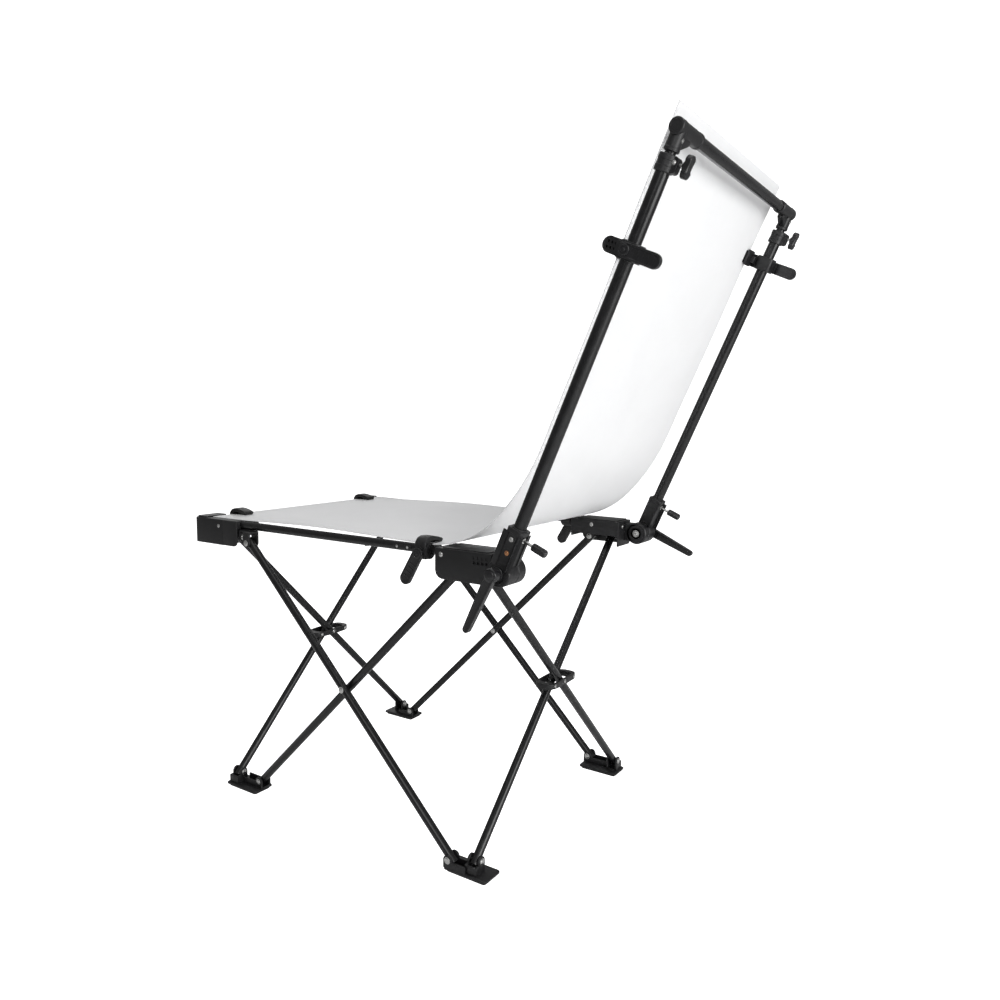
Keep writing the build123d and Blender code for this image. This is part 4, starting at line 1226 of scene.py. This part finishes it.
class TABLE_OT_post_clips(bpy.types.Operator):
    """Model the clips on the posts with their jaws and paddles"""
    bl_idname = "table.post_clips"
    bl_label = "Post clips"

    def execute(self, context):
        place = at_post(CLIP_AT, 0, SLIDE, (-1, 0, 0))
        body = block((-17, 17), (-18.5, 18.5), (-15, 15))
        round_edges(body, upright, 7, 5)
        panel(body, lambda c, n: n.x < -0.95, 3.5, 0.9)
        soften(body, 1.0, 3, 35)
        bar = lobe(0, 34, 14.2, 14.0, (0, 12), 48, place_at((-3, 0, 0), (-1, 0, 0), (0, 1, 0)))
        recess(bar, lambda c, n: n.x < -0.9, 2.6, (1.0, 0, 0))
        soften(bar, 1.6, 4, 35)
        web = soften(block((-8, 24), (30, 47), (-13.2, 13.2)), 4.0, 5)
        finger = lobe(14, 52, 6.2, 5.2, (-14, 14), 36, place_at((0, 41, 0), (0, 0, 1), (1, 0, 0)))
        soften(finger, 1.4, 3, 40)
        parts = [body, bar, web, finger]
        for y in (24, 31, 38):
            for z in (-4.6, 4.6):
                pocket = block((-14.8, -13.4), (y - 2.6, y + 2.6), (z - 3.4, z + 3.4))
                panel(pocket, lambda c, n: n.x < -0.9, 0.9, 0.8)
                parts.append(soften(pocket, 0.3, 2))
        back_pad = block((16, 52), (26.4, 31.8), (-17, 17))
        round_edges(back_pad, lambda a, b: abs(a.y - b.y) > 1, 5, 4)
        soften(back_pad, 0.9, 3)
        stem = soften(block((14, 30), (18, 28), (-7, 7)), 1.4, 3)
        face_pad = soften(block((20, 54), (34.3, 36.2), (-14, 14)), 0.6, 2)
        parts += [back_pad, stem, face_pad]
        clip = settle(joined(parts), place)
        both_sides(clip, "post_clip_jaw_{}", "backrest", "mouldings",
                   "Black moulding", rise=LEFT_CLIP_RISE)
        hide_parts("post_clips")
        spring = block((-0.9, 0.9), (-10, 10), (0, 1.4),
                       place_at(on_post(CLIP_AT, -17, POST_X + 14.6), (1, 0, 0), REAR))
        soften(spring, 0.4, 2)
        both_sides(spring, "post_clip_spring_{}", "backrest", "fasteners",
                   "Bright steel", rise=LEFT_CLIP_RISE)
        pivot = on_post(CLIP_AT, 0, POST_X + 17)
        grip = paddle(place_at(pivot, (1, 0, 0), REAR), 56)
        both_sides(grip, "paddle_grip_post_{}", "paddle_post_{}",
                   "handles", "Black handle", "clip_lever_post_{}", LEFT_CLIP_RISE)
        pin = settle(dome_head(2.4, 1.4), place_at(pivot + Vector((9.2, 0, 0)), (1, 0, 0), SLIDE))
        both_sides(pin, "paddle_pin_post_{}", "paddle_post_{}",
                   "handles", "Black handle", rise=LEFT_CLIP_RISE)
        return {"FINISHED"}


class TABLE_OT_sheet(bpy.types.Operator):
    """Model the swept backdrop sheet as one thin curved piece"""
    bl_idname = "table.sheet"
    bl_label = "Backdrop sheet"

    def execute(self, context):
        flat_low, flat_high = box("sheet_table")
        back_high = box("sheet_back")[1]
        half_width = flat_high.x - 0.5
        surface = (flat_low.z + flat_high.z) / 2
        lean = math.atan2(SLIDE.y, SLIDE.z)
        low_turn, full_turn = math.radians(45), math.pi / 2 - lean
        low_radius, high_radius = 235.0, 500.0
        start_y, front_y = flat_high.y, flat_low.y
        lengths = (start_y - front_y, low_radius * low_turn, high_radius * (full_turn - low_turn))
        bend_end = (start_y + low_radius * math.sin(low_turn) + high_radius
                    * (math.sin(full_turn) - math.sin(low_turn)),
                    surface + low_radius * (1 - math.cos(low_turn)) + high_radius
                    * (math.cos(low_turn) - math.cos(full_turn)))
        back_length = (back_high.z - 0.5 - bend_end[1]) / math.cos(lean)
        total = sum(lengths) + back_length

        def track(run):
            """The sheet's middle line on y and z, at a run from its front edge."""
            if run < lengths[0]:
                return front_y + run, surface
            run -= lengths[0]
            if run < lengths[1]:
                turn = run / low_radius
                return start_y + low_radius * math.sin(turn), surface + low_radius * (1 - math.cos(turn))
            run -= lengths[1]
            if run < lengths[2]:
                turn = low_turn + run / high_radius
                return (start_y + low_radius * math.sin(low_turn) + high_radius
                        * (math.sin(turn) - math.sin(low_turn)),
                        surface + low_radius * (1 - math.cos(low_turn)) + high_radius
                        * (math.cos(low_turn) - math.cos(turn)))
            run -= lengths[2]
            return bend_end[0] + run * math.sin(lean), bend_end[1] + run * math.cos(lean)

        rows = context.scene.table_sizes.sheet_rows
        bow = context.scene.table_sizes.sheet_bow / MM
        clear()
        bpy.ops.mesh.primitive_grid_add(x_subdivisions=40, y_subdivisions=rows, size=1)
        piece = bpy.context.object
        piece.scale = (2 * half_width * MM, total * MM, 1)
        settle(piece)
        piece.name = piece.data.name = "backdrop_sheet"
        clip_run = box("clip_lever_rail_right")[1].y - 13 - front_y
        for point in piece.data.vertices:
            x, run = point.co.x / MM, point.co.y / MM + total / 2
            y, z = track(run)
            before, after = track(max(run - 1, 0)), track(min(run + 1, total))
            tangent = Vector((after[0] - before[0], after[1] - before[1])).normalized()
            edge = abs(x / half_width) ** 6
            lift = 0.0
            if 40 < run < clip_run:
                lift = bow * edge * math.sin(math.pi * (run - 40) / (clip_run - 40)) ** 2
            elif run > lengths[0] + lengths[1] + 40:
                wave = math.sin(math.pi * (run - lengths[0] - lengths[1] - 40) / (total - lengths[0]
                                                                                  - lengths[1]) * 2.0)
                lift = 1.6 * wave ** 2 * (0.3 + 0.7 * edge)
            y -= tangent[1] * lift
            z += tangent[0] * lift
            point.co = Vector((x, y, z)) * MM
        modified(piece, "Thickness", "SOLIDIFY", thickness=(flat_high.z - flat_low.z) * MM, offset=0)
        bpy.ops.object.mode_set(mode="EDIT")
        closed(piece, None)
        bpy.ops.object.shade_smooth_by_angle(angle=math.radians(40))
        piece.data.materials.append(FINISHES["Milky sheet"])
        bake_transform(piece)
        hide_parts("sheet_table", "sheet_bend", "sheet_back")
        clear()
        return {"FINISHED"}


class TABLE_OT_stage(bpy.types.Operator):
    """Make the floor, the soft studio light and the camera"""
    bl_idname = "table.stage"
    bl_label = "Stage"

    def execute(self, context):
        clear()
        bpy.ops.mesh.primitive_plane_add(size=context.scene.table_sizes.floor_size)
        floor = bpy.context.object
        floor.name = "floor"
        tree, shader = new_material("Pale floor")
        shader.inputs["Base Color"].default_value = (0.93, 0.93, 0.93, 1)
        shader.inputs["Roughness"].default_value = 0.75
        shader.inputs["Specular IOR Level"].default_value = 0.2
        glow = tree.nodes.new("ShaderNodeLightPath")
        tree.links.new(math_node(tree, "MULTIPLY", glow.outputs["Is Camera Ray"], 1.2),
                       shader.inputs["Emission Strength"])
        shader.inputs["Emission Color"].default_value = (1, 1, 1, 1)
        floor.data.materials.append(FINISHES["Pale floor"])

        world = bpy.data.worlds.new("Studio")
        context.scene.world = world
        world.use_nodes = True
        tree = world.node_tree
        path = tree.nodes.new("ShaderNodeLightPath")
        back = tree.nodes["Background"]
        back.inputs["Color"].default_value = (1, 1, 1, 1)
        strength = math_node(tree, "MULTIPLY", path.outputs["Is Camera Ray"], 1.2)
        tree.links.new(math_node(tree, "ADD", strength, 0.26), back.inputs["Strength"])

        for name, spot, target, size, power in (
                ("overhead", (0.2, 0.2, 3.4), (0, 0, 0.7), 3.0, 30),
                ("camera_side", (3.2, 2.0, 2.2), (0, 0, 0.7), 2.0, 32),
                ("front_side", (-2.2, -2.8, 2.4), (0, 0, 0.8), 2.0, 12),
                ("behind_sheet", (0.8, 3.4, 1.2), (0, 0.5, 1.0), 2.0, 72)):
            bpy.ops.object.light_add(type="AREA", location=spot)
            lamp = bpy.context.object
            lamp.name = name
            lamp.data.size = size
            lamp.data.energy = power
            lamp.rotation_euler = (Vector(target) - Vector(spot)).to_track_quat("-Z", "Y").to_euler()

        bpy.ops.object.camera_add(location=(1.6045, 1.2645, 0.9553))
        camera = bpy.context.object
        yaw, pitch, roll = math.radians(123.32), math.radians(6.68), math.radians(0.66)
        back_way = Vector((math.sin(yaw) * math.cos(pitch), -math.cos(yaw) * math.cos(pitch),
                           math.sin(pitch)))
        level = (-back_way).cross(Vector((0, 0, 1))).normalized()
        up = level.cross(-back_way)
        right = level * math.cos(roll) + up * math.sin(roll)
        upward = up * math.cos(roll) - level * math.sin(roll)
        camera.matrix_world = Matrix.Translation(camera.location) @ Matrix((right, upward,
                                                                            back_way)).transposed().to_4x4()
        camera.data.lens = 29.45
        camera.data.sensor_width = 36
        camera.data.shift_x = -0.001
        camera.data.shift_y = 0.005
        camera.data.dof.use_dof = False
        context.scene.camera = camera
        context.scene.view_settings.view_transform = "Standard"
        clear()
        return {"FINISHED"}


class TABLE_PT_panel(bpy.types.Panel):
    """Lists the table's pieces, sizes and colours"""
    bl_label = "Folding Table"
    bl_idname = "TABLE_PT_panel"
    bl_space_type = "VIEW_3D"
    bl_region_type = "UI"
    bl_category = "Table"

    def draw(self, context):
        for settings in (context.scene.table_sizes, context.scene.table_colours):
            column = self.layout.column(align=True)
            for name in settings.bl_rna.properties.keys():
                if name not in ("rna_type", "name"):
                    column.prop(settings, name)
        for operator in OPERATORS:
            self.layout.operator(operator.bl_idname)


OPERATORS = (TABLE_OT_finishes, TABLE_OT_feet, TABLE_OT_leg_blocks, TABLE_OT_leg_rivets, TABLE_OT_hubs,
             TABLE_OT_front_blocks, TABLE_OT_back_blocks, TABLE_OT_frame_fasteners, TABLE_OT_lock_levers,
             TABLE_OT_post_sockets, TABLE_OT_knobs, TABLE_OT_collars, TABLE_OT_corner_brackets,
             TABLE_OT_table_clips, TABLE_OT_post_clips, TABLE_OT_sheet, TABLE_OT_stage, )
CLASSES = (TableColours, TableSizes, *OPERATORS, TABLE_PT_panel)


def register():
    for cls in CLASSES:
        bpy.utils.register_class(cls)
    bpy.types.Scene.table_colours = PointerProperty(type=TableColours)
    bpy.types.Scene.table_sizes = PointerProperty(type=TableSizes)


def unregister():
    del bpy.types.Scene.table_sizes
    del bpy.types.Scene.table_colours
    for cls in reversed(CLASSES):
        bpy.utils.unregister_class(cls)


def main():
    register()
    for operator in OPERATORS:
        group, name = operator.bl_idname.split(".")
        getattr(getattr(bpy.ops, group), name)()


if __name__ == "__main__":
    main()
